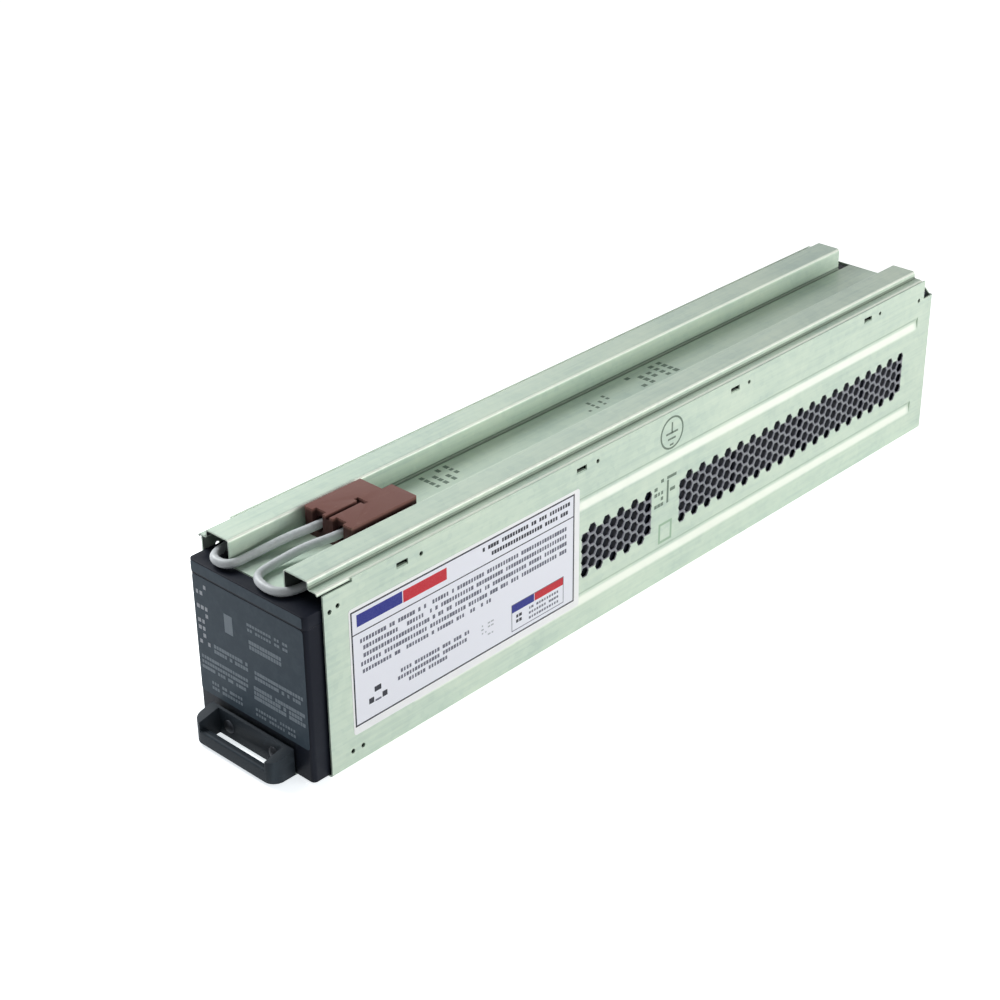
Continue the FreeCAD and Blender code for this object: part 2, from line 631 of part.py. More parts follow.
def build_battery(number):
    """Build one battery: container, lid with its terminal shelf, and the two blade terminals."""
    turned = number % 2 == 0
    along = battery_middle(number)

    container = new_body(f"battery_{number}_container")
    foot = sketch_on(container, "XY_Plane")
    half_x = "(battery_width / 2 - lid_lip)"
    half_y = "(battery_length / 2 - lid_lip)"
    add_rectangle(foot, f"-{half_x}", f"-{half_y}", half_x, half_y)
    pad(container, foot, "battery_height - lid_height")
    round_edges(container, "battery_corner - lid_lip", is_upright)
    place(container, y=along, z="sheet", turned=turned)

    lid = new_body(f"battery_{number}_lid")
    plan = sketch_on(lid, "XY_Plane")
    add_rectangle(plan, "-battery_width / 2", "-battery_length / 2",
                  "battery_width / 2", "battery_length / 2")
    pad(lid, plan, "lid_height")
    round_edges(lid, "battery_corner", is_upright)
    shelf = sketch_on(lid, "XY_Plane", "lid_height")
    add_rectangle(shelf, "-battery_width / 2 + shelf_end", "battery_length / 2 - shelf_length",
                  "battery_width / 2 - shelf_end", "battery_length / 2 + 1")
    cut(lid, shelf, "shelf_depth")
    valve = sketch_on(lid, "XY_Plane", "lid_height")
    add_rectangle(valve, "-valve_width / 2", "-valve_offset - valve_length / 2",
                  "valve_width / 2", "-valve_offset + valve_length / 2")
    cut(lid, valve, "valve_depth")
    place(lid, y=along, z="sheet + battery_height - lid_height", turned=turned)

    pieces = []
    for sign in ("", "-"):
        side = f"{sign}terminal_spread"
        edge = "battery_length / 2 - terminal_inset"
        pieces.append(box("terminal_base",
                          "terminal_base_width", "terminal_base_length", "terminal_base_height",
                          f"{side} - terminal_base_width / 2", f"{edge} - terminal_base_length / 2", "0"))
        pieces.append(box("terminal_blade", "blade_thickness", "blade_width", "shelf_depth + terminal_top",
                          f"{side} - blade_thickness / 2", f"{edge} - blade_width / 2", "0"))
    terminals = fuse(pieces, f"battery_{number}_terminals")
    place(terminals, y=along, z=f"{LID_TOP} - shelf_depth", turned=turned)


def boot(side, along, low=None):
    """Make a wire boot over one blade, from its own height or from a lower level up."""
    top = f"({LID_TOP} + terminal_top + boot_skin)"
    bottom = f"({top} - boot_height)" if low is None else f"({low})"
    block = box("boot_block", "boot_width", "boot_length", f"{top} - {bottom}",
                f"{side} - boot_width / 2", f"{along} - boot_length / 2", bottom)
    slot = box("boot_slot", "blade_thickness + 2 * boot_play", "blade_width + 2 * boot_play",
               f"{LID_TOP} + terminal_top + boot_play - {bottom} + 1",
               f"{side} - blade_thickness / 2 - boot_play", f"{along} - blade_width / 2 - boot_play",
               f"{bottom} - 1")
    hollow = doc.addObject("Part::Cut", "boot")
    hollow.Base = block
    hollow.Tool = slot
    return hollow


def terminal_place(number):
    """Return the expression for one battery's terminals along the row."""
    sign = "-" if number % 2 == 0 else "+"
    return f"({battery_middle(number)} {sign} (battery_length / 2 - terminal_inset))"


def build_link(number):
    """Join one battery to the next: odd joints on the right, even ones on the left."""
    side = "terminal_spread" if number % 2 == 1 else "-terminal_spread"
    start = terminal_place(number)
    stop = terminal_place(number + 1)
    half = "(boot_length / 2 - wire_grip)"
    wire = rod_along_y("link_wire", "link_diameter", f"{stop} - {start} - 2 * {half}",
                       side, f"{start} + {half}", WIRE_LEVEL)
    fuse([boot(side, start), boot(side, stop), wire], f"link_{number}")


def tube_along(points, diameter, report):
    """Sweep a round wire along straight runs that tangent arcs join."""
    edges = []
    last = points[0]
    radii = []
    for before, corner, after in zip(points, points[1:], points[2:]):
        into = (corner - before).normalize()
        onward = (after - corner).normalize()
        turn = math.acos(max(-1.0, min(1.0, into.dot(onward))))
        reach = 0.45 * min((corner - before).Length, (after - corner).Length)
        radii.append(reach / math.tan(turn / 2))
        begin = corner - into * reach
        end = corner + onward * reach
        inward = (onward - into).normalize()
        sagitta = reach * math.cos(turn / 2) * math.tan(turn / 4)
        top = (begin + end) / 2 - inward * sagitta
        edges.append(Part.LineSegment(last, begin).toShape())
        edges.append(Part.Arc(begin, top, end).toShape())
        last = end
    edges.append(Part.LineSegment(last, points[-1]).toShape())
    path = Part.Wire(edges)
    heading = (points[1] - points[0]).normalize()
    section = Part.Wire([Part.makeCircle(diameter / 2, points[0], heading)])
    solid = path.makePipeShell([section], True, True)
    ideal = math.pi * diameter * diameter / 4 * path.Length
    print(report, "radii", [round(radius, 1) for radius in radii],
          "length", round(path.Length, 1), "volume share", round(solid.Volume / ideal, 4))
    return solid


def wire_piece(name, points, report):
    """Make a piece of lead as a solid along its route."""
    piece = doc.addObject("Part::Feature", name)
    piece.Shape = tube_along([FreeCAD.Vector(*point) for point in points], size("lead_diameter"), report)
    return piece


# Free leads: from inside the rails' mouths, round on the first lid, into the connector.
POSITIVE_ROUTE = [
    (-33.0, -254.25, 106.5), (-33.0, -269.6, 106.5), (-16.8, -270.4, 105.7), (-16.8, -250.5, 105.9),
    (-12.6, -232.0, 109.2), (-7.9, -217.2, 110.95), (-7.9, -204.25, 110.95),
]
NEGATIVE_ROUTE = [
    (25.5, -254.25, 104.9), (25.5, -270.0, 104.9), (0.8, -269.4, 105.7), (-1.4, -249.5, 106.0),
    (1.6, -232.0, 109.0), (7.9, -217.6, 110.95), (7.9, -204.25, 110.95),
]


def build_leads():
    """Lay the free leads and the held tails that join them to the first and last battery."""
    deliver(wire_piece("positive_lead", POSITIVE_ROUTE, "positive_lead"), "positive_lead")
    deliver(wire_piece("negative_lead", NEGATIVE_ROUTE, "negative_lead"), "negative_lead")

    mouth = f"({FRONT} + mouth_depth)"
    first = terminal_place(1)
    run = rod_along_y("tail_wire", "lead_diameter", f"{first} - boot_length / 2 + wire_grip - {mouth}",
                      "-terminal_spread", mouth, WIRE_LEVEL)
    fuse([boot("-terminal_spread", first), run], "positive_tail")

    steel = size("battery_count") * size("battery_length") - size("battery_overhang") + size("rear_play")
    front = (size("handle_reach") - steel - size("sheet")) / 2
    lids = size("sheet") + size("battery_height")
    last_joint = front - size("battery_overhang") + (size("battery_count") - 1) * size("battery_length")
    high = lids + size("lead_play") + size("lead_diameter") / 2
    low = high - size("shelf_depth")
    side = size("rail_inner") + size("sheet") + size("rail_play") + size("lead_diameter") / 2
    crossing = last_joint + size("terminal_inset") + size("crossing_after")
    turn = size("crossing_turn")
    route = [
        (-size("terminal_spread") + size("boot_width") / 2, crossing, low),
        (side - turn, crossing, low), (side, crossing - turn, low),
        (side, crossing - turn - size("crossing_climb"), high),
        (side, front + size("mouth_depth"), high),
    ]
    last = terminal_place(int(size("battery_count")))
    level = f"{LID_TOP} - shelf_depth + terminal_base_height + boot_play"
    crossing_wire = wire_piece("crossing_wire", route, "negative_tail")
    fuse([boot("-terminal_spread", last, level), crossing_wire], "negative_tail")


def build_connector():
    """Build the two-pole connector: housing with half-height noses, and its two contacts."""
    body = new_body("connector_housing")
    half = "(housing_width / 2)"
    split = "housing_height / 2"
    plan = sketch_on(body, "XY_Plane")
    add_rectangle(plan, f"-{half}", "0", half, "housing_length")
    pad(body, plan, "housing_height")
    round_edges(body, "housing_corner", is_upright)
    ribs = sketch_on(body, "XY_Plane", "rib_low")
    add_rectangle(ribs, f"-{half} - rib_depth", "rib_first", f"{half} + rib_depth", "rib_first + rib_width")
    first_rib = pad(body, ribs, "rib_height")
    repeat(body, [first_rib], "Y_Axis", "rib_count", "rib_step")

    # Each pole keeps one half-height nose at the mating end: left one low, right one high.
    shoulder = "housing_length - nose_length"
    left = sketch_on(body, "XY_Plane", split)
    add_rectangle(left, f"-{half} - 1", shoulder, "-nose_web / 2", "housing_length + 1")
    cut(body, left, reverse=True)
    right = sketch_on(body, "XY_Plane", split)
    add_rectangle(right, "nose_web / 2", shoulder, f"{half} + 1", "housing_length + 1")
    cut(body, right)

    chambers = sketch_on(body, "XZ_Plane", "-bore_depth")
    bores = sketch_on(body, "XZ_Plane")
    for sign in ("", "-"):
        add_circle(bores, f"{sign}pole_spread", split, "bore")
        low = f"{split} - chamber / 2" if sign == "" else split
        high = split if sign == "" else f"{split} + chamber / 2"
        add_rectangle(chambers, f"{sign}pole_spread - chamber / 2", low,
                      f"{sign}pole_spread + chamber / 2", high)
    cut(body, bores, "bore_depth", reverse=False)
    cut(body, chambers, f"{shoulder} - bore_depth", reverse=False)

    # A groove with a cross slot at its end runs along the top, clear of the two chambers.
    groove = sketch_on(body, "XY_Plane", "housing_height - groove_depth")
    stop = "groove_length - cross_length"
    add_polygon(groove, [
        ("-groove_width / 2", "-1"), ("groove_width / 2", "-1"), ("groove_width / 2", stop),
        ("cross_width / 2", stop), ("cross_width / 2", "groove_length"),
        ("-cross_width / 2", "groove_length"), ("-cross_width / 2", stop), ("-groove_width / 2", stop),
    ])
    cut(body, groove, reverse=True)

    # The wire end is open on top over the bores, and the middle web has two fixing holes.
    entry = sketch_on(body, "XY_Plane", split)
    for sign in ("", "-"):
        add_rectangle(entry, f"{sign}pole_spread - bore / 2", "-1",
                      f"{sign}pole_spread + bore / 2", "entry_length")
    cut(body, entry, reverse=True)
    web = sketch_on(body, "XY_Plane")
    add_circle(web, "0", "web_hole_first", "web_hole")
    add_circle(web, "0", "web_hole_first + web_hole_step", "web_hole")
    cut(body, web, both=True)
    place(body, y=f"{FRONT} + housing_start", z=FLOOR_TOP)

    for label, sign, level in (("positive", "-", split), ("negative", "", f"({split} - contact_thickness)")):
        barrel = rod_along_y("contact_barrel", "barrel", "barrel_length",
                             f"{sign}pole_spread", "wire_seat", split)
        strip = box("contact_strip", "contact_width",
                    "housing_length - contact_stop - wire_seat - barrel_length", "contact_thickness",
                    f"{sign}pole_spread - contact_width / 2",
                    "wire_seat + barrel_length", level)
        contact = fuse([barrel, strip], f"connector_contact_{label}")
        place(contact, y=f"{FRONT} + housing_start", z=FLOOR_TOP)


def build_handle():
    """Build the pull handle with its plate, arms and low bar, and the rivets that hold it."""
    body = new_body("handle")
    half = "(handle_width / 2)"
    back = f"({LIP_BACK} - sheet)"
    plan = sketch_on(body, "XY_Plane", "handle_foot")
    add_rectangle(plan, f"-{half}", "-handle_reach", half, back)
    pad(body, plan, "handle_root - handle_foot")
    reach = size("handle_reach")

    def is_front_corner(shape, edge):
        return runs_along(edge, Z_DIRECTION) and middle(edge).y < -reach + NEAR

    round_edges(body, "handle_corner", is_front_corner)
    gap = sketch_on(body, "XY_Plane", "handle_foot")
    add_rectangle(gap, f"-{half} + arm_width", "-handle_reach + grip_depth", f"{half} - arm_width",
                  f"{back} - handle_plate")
    cut(body, gap, both=True)

    # The arms fall towards the bar, and the bar lies lower still between them.
    slope = sketch_on(body, "YZ_Plane")
    add_polygon(slope, [
        ("-handle_reach - 1", "handle_tip"), ("-handle_reach", "handle_tip"), (back, "handle_root"),
        (back, "handle_root + 1"), ("-handle_reach - 1", "handle_root + 1"),
    ])
    cut(body, slope, both=True)
    scoop = sketch_on(body, "XZ_Plane", "handle_reach + 1")
    add_rectangle(scoop, f"-{half} + arm_width", "grip_top", f"{half} - arm_width", "handle_root + 1")
    cut(body, scoop, "grip_depth + 2", reverse=False)
    rivet_holes = sketch_on(body, "XZ_Plane", f"-{back} - 1")
    for sign in ("", "-"):
        add_circle(rivet_holes, f"{sign}rivet_spread", "rivet_level", "rivet_shank + 2 * rivet_play")
    cut(body, rivet_holes, "handle_plate + 2", reverse=True)

    grip_top = size("grip_top")

    def is_grip_edge(shape, edge):
        point = middle(edge)
        return runs_along(edge, X_DIRECTION) and abs(point.z - grip_top) < NEAR

    round_edges(body, "grip_round", is_grip_edge)
    place(body, y=FRONT)

    pieces = []
    for sign in ("", "-"):
        side = f"{sign}rivet_spread"
        front_face = f"({back} - handle_plate)"
        pieces.append(rod_along_y("rivet_head", "rivet_head", "rivet_head_height",
                                  side, f"{front_face} - rivet_head_height", "rivet_level"))
        pieces.append(rod_along_y("rivet_shank", "rivet_shank", "rivet_head_height + handle_plate + sheet",
                                  side, f"{front_face} - rivet_head_height", "rivet_level"))
        pieces.append(rod_along_y("rivet_tail", "rivet_tail", "rivet_tail_height",
                                  side, LIP_BACK, "rivet_level"))
    rivets = fuse(pieces, "handle_rivets")
    place(rivets, y=FRONT)


def build_films():
    """Add the two labels and the foam pad behind the last battery."""
    deliver(box("side_label", "label_film", "label_length", "label_height",
                HALF_WIDTH, f"{FRONT} + label_start", "label_low"), "side_label")
    face = f"({FRONT} - battery_overhang + lid_lip)"
    deliver(box("front_label", "front_label_width", "label_film", "front_label_height",
                "-front_label_width / 2", f"{face} - label_film", "sheet + front_label_low"),
            "battery_front_label")
    deliver(box("rear_pad", "pad_width", "rear_play + lid_lip", "pad_height",
                "-pad_width / 2", f"{FRONT} + {STEEL_LENGTH} - sheet - rear_play - lid_lip", "pad_low"),
            "rear_pad")


build_tray()
build_cover()
for position in range(1, int(size("battery_count")) + 1):
    build_battery(position)
for position in range(1, int(size("battery_count"))):
    build_link(position)
build_leads()
build_connector()
build_handle()
build_films()
doc.recompute()

faults = []
for thing in doc.Objects:
    if "Invalid" in thing.State or "Error" in thing.State:
        faults.append(f"{thing.Label} is not built")
for node in nodes:
    if node.Shape.isNull() or not node.Shape.isValid():
        faults.append(f"{node.Label} has no valid shape")
if faults:
    raise RuntimeError("; ".join(faults))

os.makedirs("parts", exist_ok=True)
for node in nodes:
    node.Shape.exportStep(f"parts/{node.Label}.step")
    extent = node.Shape.BoundBox
    print(f"{node.Label:28s} solids {len(node.Shape.Solids)} volume {node.Shape.Volume:10.1f}"
          f" X {extent.XMin:8.2f} {extent.XMax:8.2f} Y {extent.YMin:8.2f} {extent.YMax:8.2f}"
          f" Z {extent.ZMin:7.2f} {extent.ZMax:7.2f}")
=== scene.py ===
"""Looks of a battery pack module: galvanised tray and cover, dark batteries, grey leads, brown connector.

Metres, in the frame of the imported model: +Z up, the row of batteries along Y, the pull handle at -Y.
"""
import logging
import math
from collections.abc import Callable, Mapping, Sequence
from dataclasses import dataclass, field
from enum import Enum
from typing import Optional, Union

import bmesh
import bpy
from mathutils import Matrix, Vector


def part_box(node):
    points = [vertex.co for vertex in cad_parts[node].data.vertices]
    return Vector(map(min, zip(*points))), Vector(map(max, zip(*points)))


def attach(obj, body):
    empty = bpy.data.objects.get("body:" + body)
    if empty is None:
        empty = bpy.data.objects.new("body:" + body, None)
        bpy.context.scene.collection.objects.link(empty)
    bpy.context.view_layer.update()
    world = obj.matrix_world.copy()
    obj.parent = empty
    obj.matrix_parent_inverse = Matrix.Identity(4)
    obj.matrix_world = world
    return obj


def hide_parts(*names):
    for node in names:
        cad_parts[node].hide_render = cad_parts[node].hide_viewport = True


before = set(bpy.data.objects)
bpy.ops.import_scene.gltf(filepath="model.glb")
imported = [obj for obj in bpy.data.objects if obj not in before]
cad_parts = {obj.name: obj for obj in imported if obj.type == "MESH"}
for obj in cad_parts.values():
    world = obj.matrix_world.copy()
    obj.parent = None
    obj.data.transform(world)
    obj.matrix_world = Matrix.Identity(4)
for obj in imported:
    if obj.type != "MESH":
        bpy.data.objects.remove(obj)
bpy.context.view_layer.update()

MM = 0.001
BODY = "root"
Colour = tuple[float, float, float, float]
Pair = tuple[float, float]
Point = tuple[float, float, float]
Span = tuple[float, float, float]
Value = Union["Signal", float, int, bool, Sequence[float], bpy.types.Material]
WHITE: Colour = (1.0, 1.0, 1.0, 1.0)
MERGE_DISTANCE = 1e-6
FLAT_ANGLE = math.radians(1.0)
EDGE_ANGLE = math.radians(34)
EDGE_STEPS = 3
WEAR_GAIN = 2.4
log = logging.getLogger("battery_pack")

# Local axes of flat work: x to the right, y up and z out of the surface.
SIDE_FACE = Matrix(((0, 0, 1), (1, 0, 0), (0, 1, 0))).to_4x4()
FRONT_FACE = Matrix(((1, 0, 0), (0, 0, -1), (0, 1, 0))).to_4x4()
TOP_FACE = Matrix.Identity(4)


def linear(channel: float) -> float:
    """Undo the display curve of one colour channel, from 0 to 255."""
    share = channel / 255
    return share / 12.92 if share <= 0.04045 else ((share + 0.055) / 1.055) ** 2.4


def tone(*channels: float) -> Colour:
    """Turn a display colour, red, green and blue from 0 to 255, into linear light with full alpha."""
    return *map(linear, channels), 1.0


def mm(*sizes: float) -> tuple[float, ...]:
    """Turn millimetres into metres."""
    return tuple(size * MM for size in sizes)


class Finish(Enum):
    """Material slots, one for each finish of the object."""

    STEEL = "galvanised_steel"
    BATTERY = "battery_plastic"
    TERMINAL = "terminal_tin"
    LINK = "link_insulation"
    LEAD = "lead_insulation"
    CONNECTOR = "connector_plastic"
    CONTACT = "contact_silver"
    HANDLE = "handle_plastic"
    RIVET = "rivet_metal"
    LABEL = "label_film"
    FRONT_LABEL = "front_film"
    FOAM = "foam"


class Print(Enum):
    """Inks of the printed fields and bars, which carry no lettering."""

    BLUE = (38, 44, 132)
    RED = (196, 40, 52)
    BLACK = (40, 42, 52)
    GREY = (96, 98, 114)
    PALE = (178, 182, 190)
    LAVENDER = (240, 241, 251)
    SLATE = (124, 135, 145)
    STAMP = (108, 126, 112)
    MOSS = (156, 186, 160)


BLUE, RED, BLACK, GREY, PALE, LAVENDER, SLATE, STAMP, MOSS = Print


def math_operator(operation: str, reflected: bool = False) -> Callable[["Signal", Value], "Signal"]:
    """Make an operator of signals that adds one Math node.

    Args:
        operation: The node's operation.
        reflected: Whether the other value stands on the left.

    Returns:
        The operator's method.
    """
    def method(signal: "Signal", other: Value) -> "Signal":
        """Work on the signal and the other value."""
        pair = (other, signal) if reflected else (signal, other)
        return signal.maths(operation, *pair)
    return method


class Signal:
    """One output of a node, with arithmetic that adds Math nodes to its graph."""

    def __init__(self, graph: "Graph", socket: Optional[bpy.types.NodeSocket]) -> None:
        """Keep the graph and the socket."""
        self.graph = graph
        self.socket = socket

    def maths(self, operation: str, *values: Value) -> "Signal":
        """Add one Math node that works on the values."""
        return self.graph.node("ShaderNodeMath", dict(enumerate(values)), operation=operation)

    __add__, __radd__ = math_operator("ADD"), math_operator("ADD", True)
    __sub__, __rsub__ = math_operator("SUBTRACT"), math_operator("SUBTRACT", True)
    __mul__, __rmul__ = math_operator("MULTIPLY"), math_operator("MULTIPLY", True)
    __truediv__, __rtruediv__ = math_operator("DIVIDE"), math_operator("DIVIDE", True)
    __mod__, __rmod__ = math_operator("FLOORED_MODULO"), math_operator("FLOORED_MODULO", True)
    __gt__, __lt__ = math_operator("GREATER_THAN"), math_operator("LESS_THAN")


class Graph:
    """A node tree of any kind, with one method that adds a node."""

    def __init__(self, tree: bpy.types.NodeTree) -> None:
        """Keep the tree, emptied."""
        self.tree = tree
        tree.nodes.clear()

    @staticmethod
    def find(sockets: Sequence[bpy.types.NodeSocket], key: Union[str, int]) -> bpy.types.NodeSocket:
        """Find a socket by its place, identifier or name."""
        return next(socket for place, socket in enumerate(sockets)
                    if key in (place, socket.identifier, socket.name))

    def node(
        self,
        kind: str,
        inputs: Mapping[Union[str, int], Value] = {},
        output: Union[str, int] = 0,
        **settings: object,
    ) -> Signal:
        """Add a node.

        Args:
            kind: The node's type.
            inputs: Values or links of its input sockets.
            output: The output socket that is handed back, where the node has any.
            settings: Properties of the node, set first; "stops" fills a colour ramp.

        Returns:
            The chosen output as a signal.
        """
        made = self.tree.nodes.new(kind)
        for key, setting in settings.items():
            if key == "stops":
                self.fill_ramp(made.color_ramp, setting)
            else:
                setattr(made, key, setting)
        for key, value in inputs.items():
            socket = self.find(made.inputs, key)
            if isinstance(value, Signal):
                self.tree.links.new(value.socket, socket)
            else:
                socket.default_value = value
        return Signal(self, self.find(made.outputs, output) if made.outputs else None)

    @staticmethod
    def fill_ramp(ramp: bpy.types.ColorRamp, stops: Sequence[tuple[float, Colour]]) -> None:
        """Set the stops of a colour ramp.

        Args:
            ramp: The ramp.
            stops: Position and colour of each stop, lowest first.
        """
        while len(ramp.elements) < len(stops):
            ramp.elements.new(1.0)
        for element, (position, colour) in zip(ramp.elements, stops):
            element.position = position
            element.color = colour


class Skin(Graph):
    """The shader graph of one material, which ends in a Principled shader."""

    def __init__(self, name: str) -> None:
        """Start an empty material.

        Args:
            name: Name of the material.
        """
        self.material = bpy.data.materials.new(name)
        self.material.use_nodes = True
        super().__init__(self.material.node_tree)

    def place(self, stretch: Point = (1.0, 1.0, 1.0)) -> Signal:
        """Give the place on the object, stretched along its axes."""
        here = self.node("ShaderNodeTexCoord", output="Object")
        return self.node("ShaderNodeMapping", {"Vector": here, "Scale": stretch})

    def axes(self) -> tuple[Signal, Signal, Signal]:
        """Give the place on the object as three numbers.

        Returns:
            The distance from the middle plane, Y and Z.
        """
        here = self.node("ShaderNodeTexCoord", output="Object")
        across, along, up = (self.node("ShaderNodeSeparateXYZ", {"Vector": here}, axis) for axis in "XYZ")
        return across.maths("ABSOLUTE", across), along, up

    def inside(self, value: Signal, low: float, high: float, soft: float) -> Signal:
        """Give 1 where a value lies between two levels, with soft ends."""
        above, past = (self.between(value, level - soft, level + soft) for level in (low, high))
        return above * (1 - past)

    def noise(self, place: Signal, grain: float, detail: float = 3.0, roughness: float = 0.55) -> Signal:
        """Give cloudy noise whose blots are about one grain across."""
        inputs = {"Vector": place, "Scale": 1 / grain, "Detail": detail, "Roughness": roughness}
        return self.node("ShaderNodeTexNoise", inputs, "Fac")

    def cells(self, place: Signal, grain: float, output: str) -> Signal:
        """Give one output of a pattern of cells about one grain across."""
        return self.node("ShaderNodeTexVoronoi", {"Vector": place, "Scale": 1 / grain}, output, feature="F1")

    def between(self, value: Signal, low: float, high: float) -> Signal:
        """Spread the part of a value between two levels over 0 to 1."""
        inputs = {"Value": value, "From Min": low, "From Max": high}
        return self.node("ShaderNodeMapRange", inputs, "Result", interpolation_type="SMOOTHSTEP")

    def mix(self, share: Value, first: Value, second: Value) -> Signal:
        """Mix two colours."""
        inputs = {"Factor_Float": share, "A_Color": first, "B_Color": second}
        return self.node("ShaderNodeMix", inputs, "Result_Color", data_type="RGBA")

    def bump(self, height: Signal, depth: float, strength: float) -> Signal:
        """Turn heights into a bumped normal."""
        return self.node("ShaderNodeBump", {"Height": height, "Distance": depth, "Strength": strength})

    def close(self, **sockets: Value) -> bpy.types.Material:
        """End in a Principled shader.

        Args:
            sockets: Values of its sockets, with underscores for the spaces in their names.

        Returns:
            The material.
        """
        named = {key.replace("_", " "): value for key, value in sockets.items()}
        shader = self.node("ShaderNodeBsdfPrincipled", named)
        self.node("ShaderNodeOutputMaterial", {"Surface": shader})
        return self.material


@dataclass(frozen=True)
class GalvanisedSteel:
    """Zinc-coated sheet: faint flakes, rolling streaks along the length and soft clouds."""

    name: str = "galvanised_steel"
    pale: Colour = tone(212, 226, 208)
    middle: Colour = tone(199, 216, 200)
    deep: Colour = tone(176, 197, 186)
    flake: float = 4 * MM
    streak: float = 2.2 * MM
    stretch: Point = (1.0, 0.03, 1.0)
    cloud: float = 60 * MM
    speck: float = 0.5 * MM
    metallic: float = 0.12
    roughness: float = 0.4
    depth: float = 0.05 * MM

    def tint(self, skin: Skin, colour: Signal) -> Signal:
        """Leave the sheet's colour as it is."""
        return colour

    def material(self) -> bpy.types.Material:
        """Make the sheet's material.

        Returns:
            The material.
        """
        skin = Skin(self.name)
        place = skin.place()
        flake = skin.node("ShaderNodeSeparateColor", {"Color": skin.cells(place, self.flake, "Color")}, "Red")
        streak = skin.noise(skin.place(self.stretch), self.streak, 4.0, 0.6)
        cloud = skin.noise(place, self.cloud, 4.0)
        speck = skin.noise(place, self.speck, 2.0)
        shade = 0.08 * flake + 0.42 * streak + 0.5 * cloud
        stops = [(0.28, self.deep), (0.5, self.middle), (0.7, self.pale)]
        colour = skin.node("ShaderNodeValToRGB", {"Fac": shade}, stops=stops)
        return skin.close(
            Base_Color=self.tint(skin, colour),
            Metallic=self.metallic - 0.04 + 0.08 * flake,
            Roughness=self.roughness - 0.06 + 0.1 * streak + 0.06 * speck,
            Normal=skin.bump(0.12 * flake + 0.9 * streak + 0.3 * speck, self.depth, 0.35),
        )


@dataclass(frozen=True)
class Mark:
    """A painted place of the steel (a painted highlight, painted shade or darker vent field): low end, high
    end and softness on each axis, in millimetres.
    """

    colour: Colour
    share: float
    across: Span
    up: Span
    along: Optional[Span] = None


@dataclass(frozen=True)
class PressedSteel(GalvanisedSteel):
    """Sheet of the tray and cover: painted highlights on the beads and folds, painted shade above the beads,
    in the creases and inside the rails, and darker vent fields.
    """

    # Painted highlight: near white on the beads' lower flanks and along the rail and shoulder edges.
    painted_highlight: Colour = tone(250, 254, 243)
    shaded: Colour = tone(150, 172, 156)
    lattice: Colour = tone(112, 110, 124)
    unlit: Colour = tone(34, 38, 40)
    # Painted shade in the inside corners: the channel's foot and the foot of the rails' outer walls.
    crease_shade: Colour = tone(84, 100, 84)
    wall: Span = (45.6, 60.0, 0.3)
    beads: Span = (-202.0, 272.0, 3.0)
    vents: Span = (38.7, 63.5, 0.5)
    rail_edge: Span = (116.3, 118.0, 0.4)
    cover: Span = (-400.0, 287.4, 0.1)
    # Painted highlights on the beads and fold edges, painted shade above the beads, in the creases and inside
    # the rails, and a darker lilac grey over the vent fields.
    marks: tuple[Mark, ...] = (
        Mark(painted_highlight, 0.85, wall, (17.5, 22.4, 1.3), beads),
        Mark(shaded, 0.7, wall, (24.1, 25.5, 0.4), beads),
        Mark(painted_highlight, 0.85, wall, (79.4, 84.3, 1.3), beads),
        Mark(shaded, 0.7, wall, (86.0, 87.4, 0.4), beads),
        Mark(lattice, 0.85, wall, vents, (-66.6, -4.4, 0.5)),
        Mark(lattice, 0.85, wall, vents, (21.8, 259.0, 0.5)),
        Mark(painted_highlight, 0.8, (20.7, 22.1, 0.4), rail_edge),
        Mark(painted_highlight, 0.8, (38.4, 39.8, 0.4), rail_edge),
        Mark(painted_highlight, 0.8, (44.7, 46.0, 0.4), (111.8, 113.3, 0.4)),
        # Painted shade along the corners at the feet of the rails.
        Mark(crease_shade, 0.8, (19.2, 21.6, 0.4), (102.6, 104.6, 0.4)),
        Mark(crease_shade, 0.8, (38.8, 40.8, 0.4), (112.7, 114.3, 0.4)),
        # Painted shade inside the rails and under the cover's shoulders.
        Mark(unlit, 0.9, (21.9, 38.6, 0.05), (101.9, 116.6, 0.05), cover),
        Mark(unlit, 0.9, (38.4, 45.0, 0.05), (101.9, 112.1, 0.05), cover),
    )

    def tint(self, skin: Skin, colour: Signal) -> Signal:
        """Paint the marks over the sheet's colour.

        Args:
            skin: The material's graph.
            colour: The plain sheet's colour.

        Returns:
            The painted colour.
        """
        across, along, up = skin.axes()
        masks: dict[tuple[Signal, Span], Signal] = {}
        for mark in self.marks:
            share = mark.share
            for key in ((across, mark.across), (up, mark.up), (along, mark.along)):
                if key[1]:
                    if key not in masks:
                        masks[key] = skin.inside(key[0], *mm(*key[1]))
                    share = share * masks[key]
            colour = skin.mix(share, colour, mark.colour)
        return colour


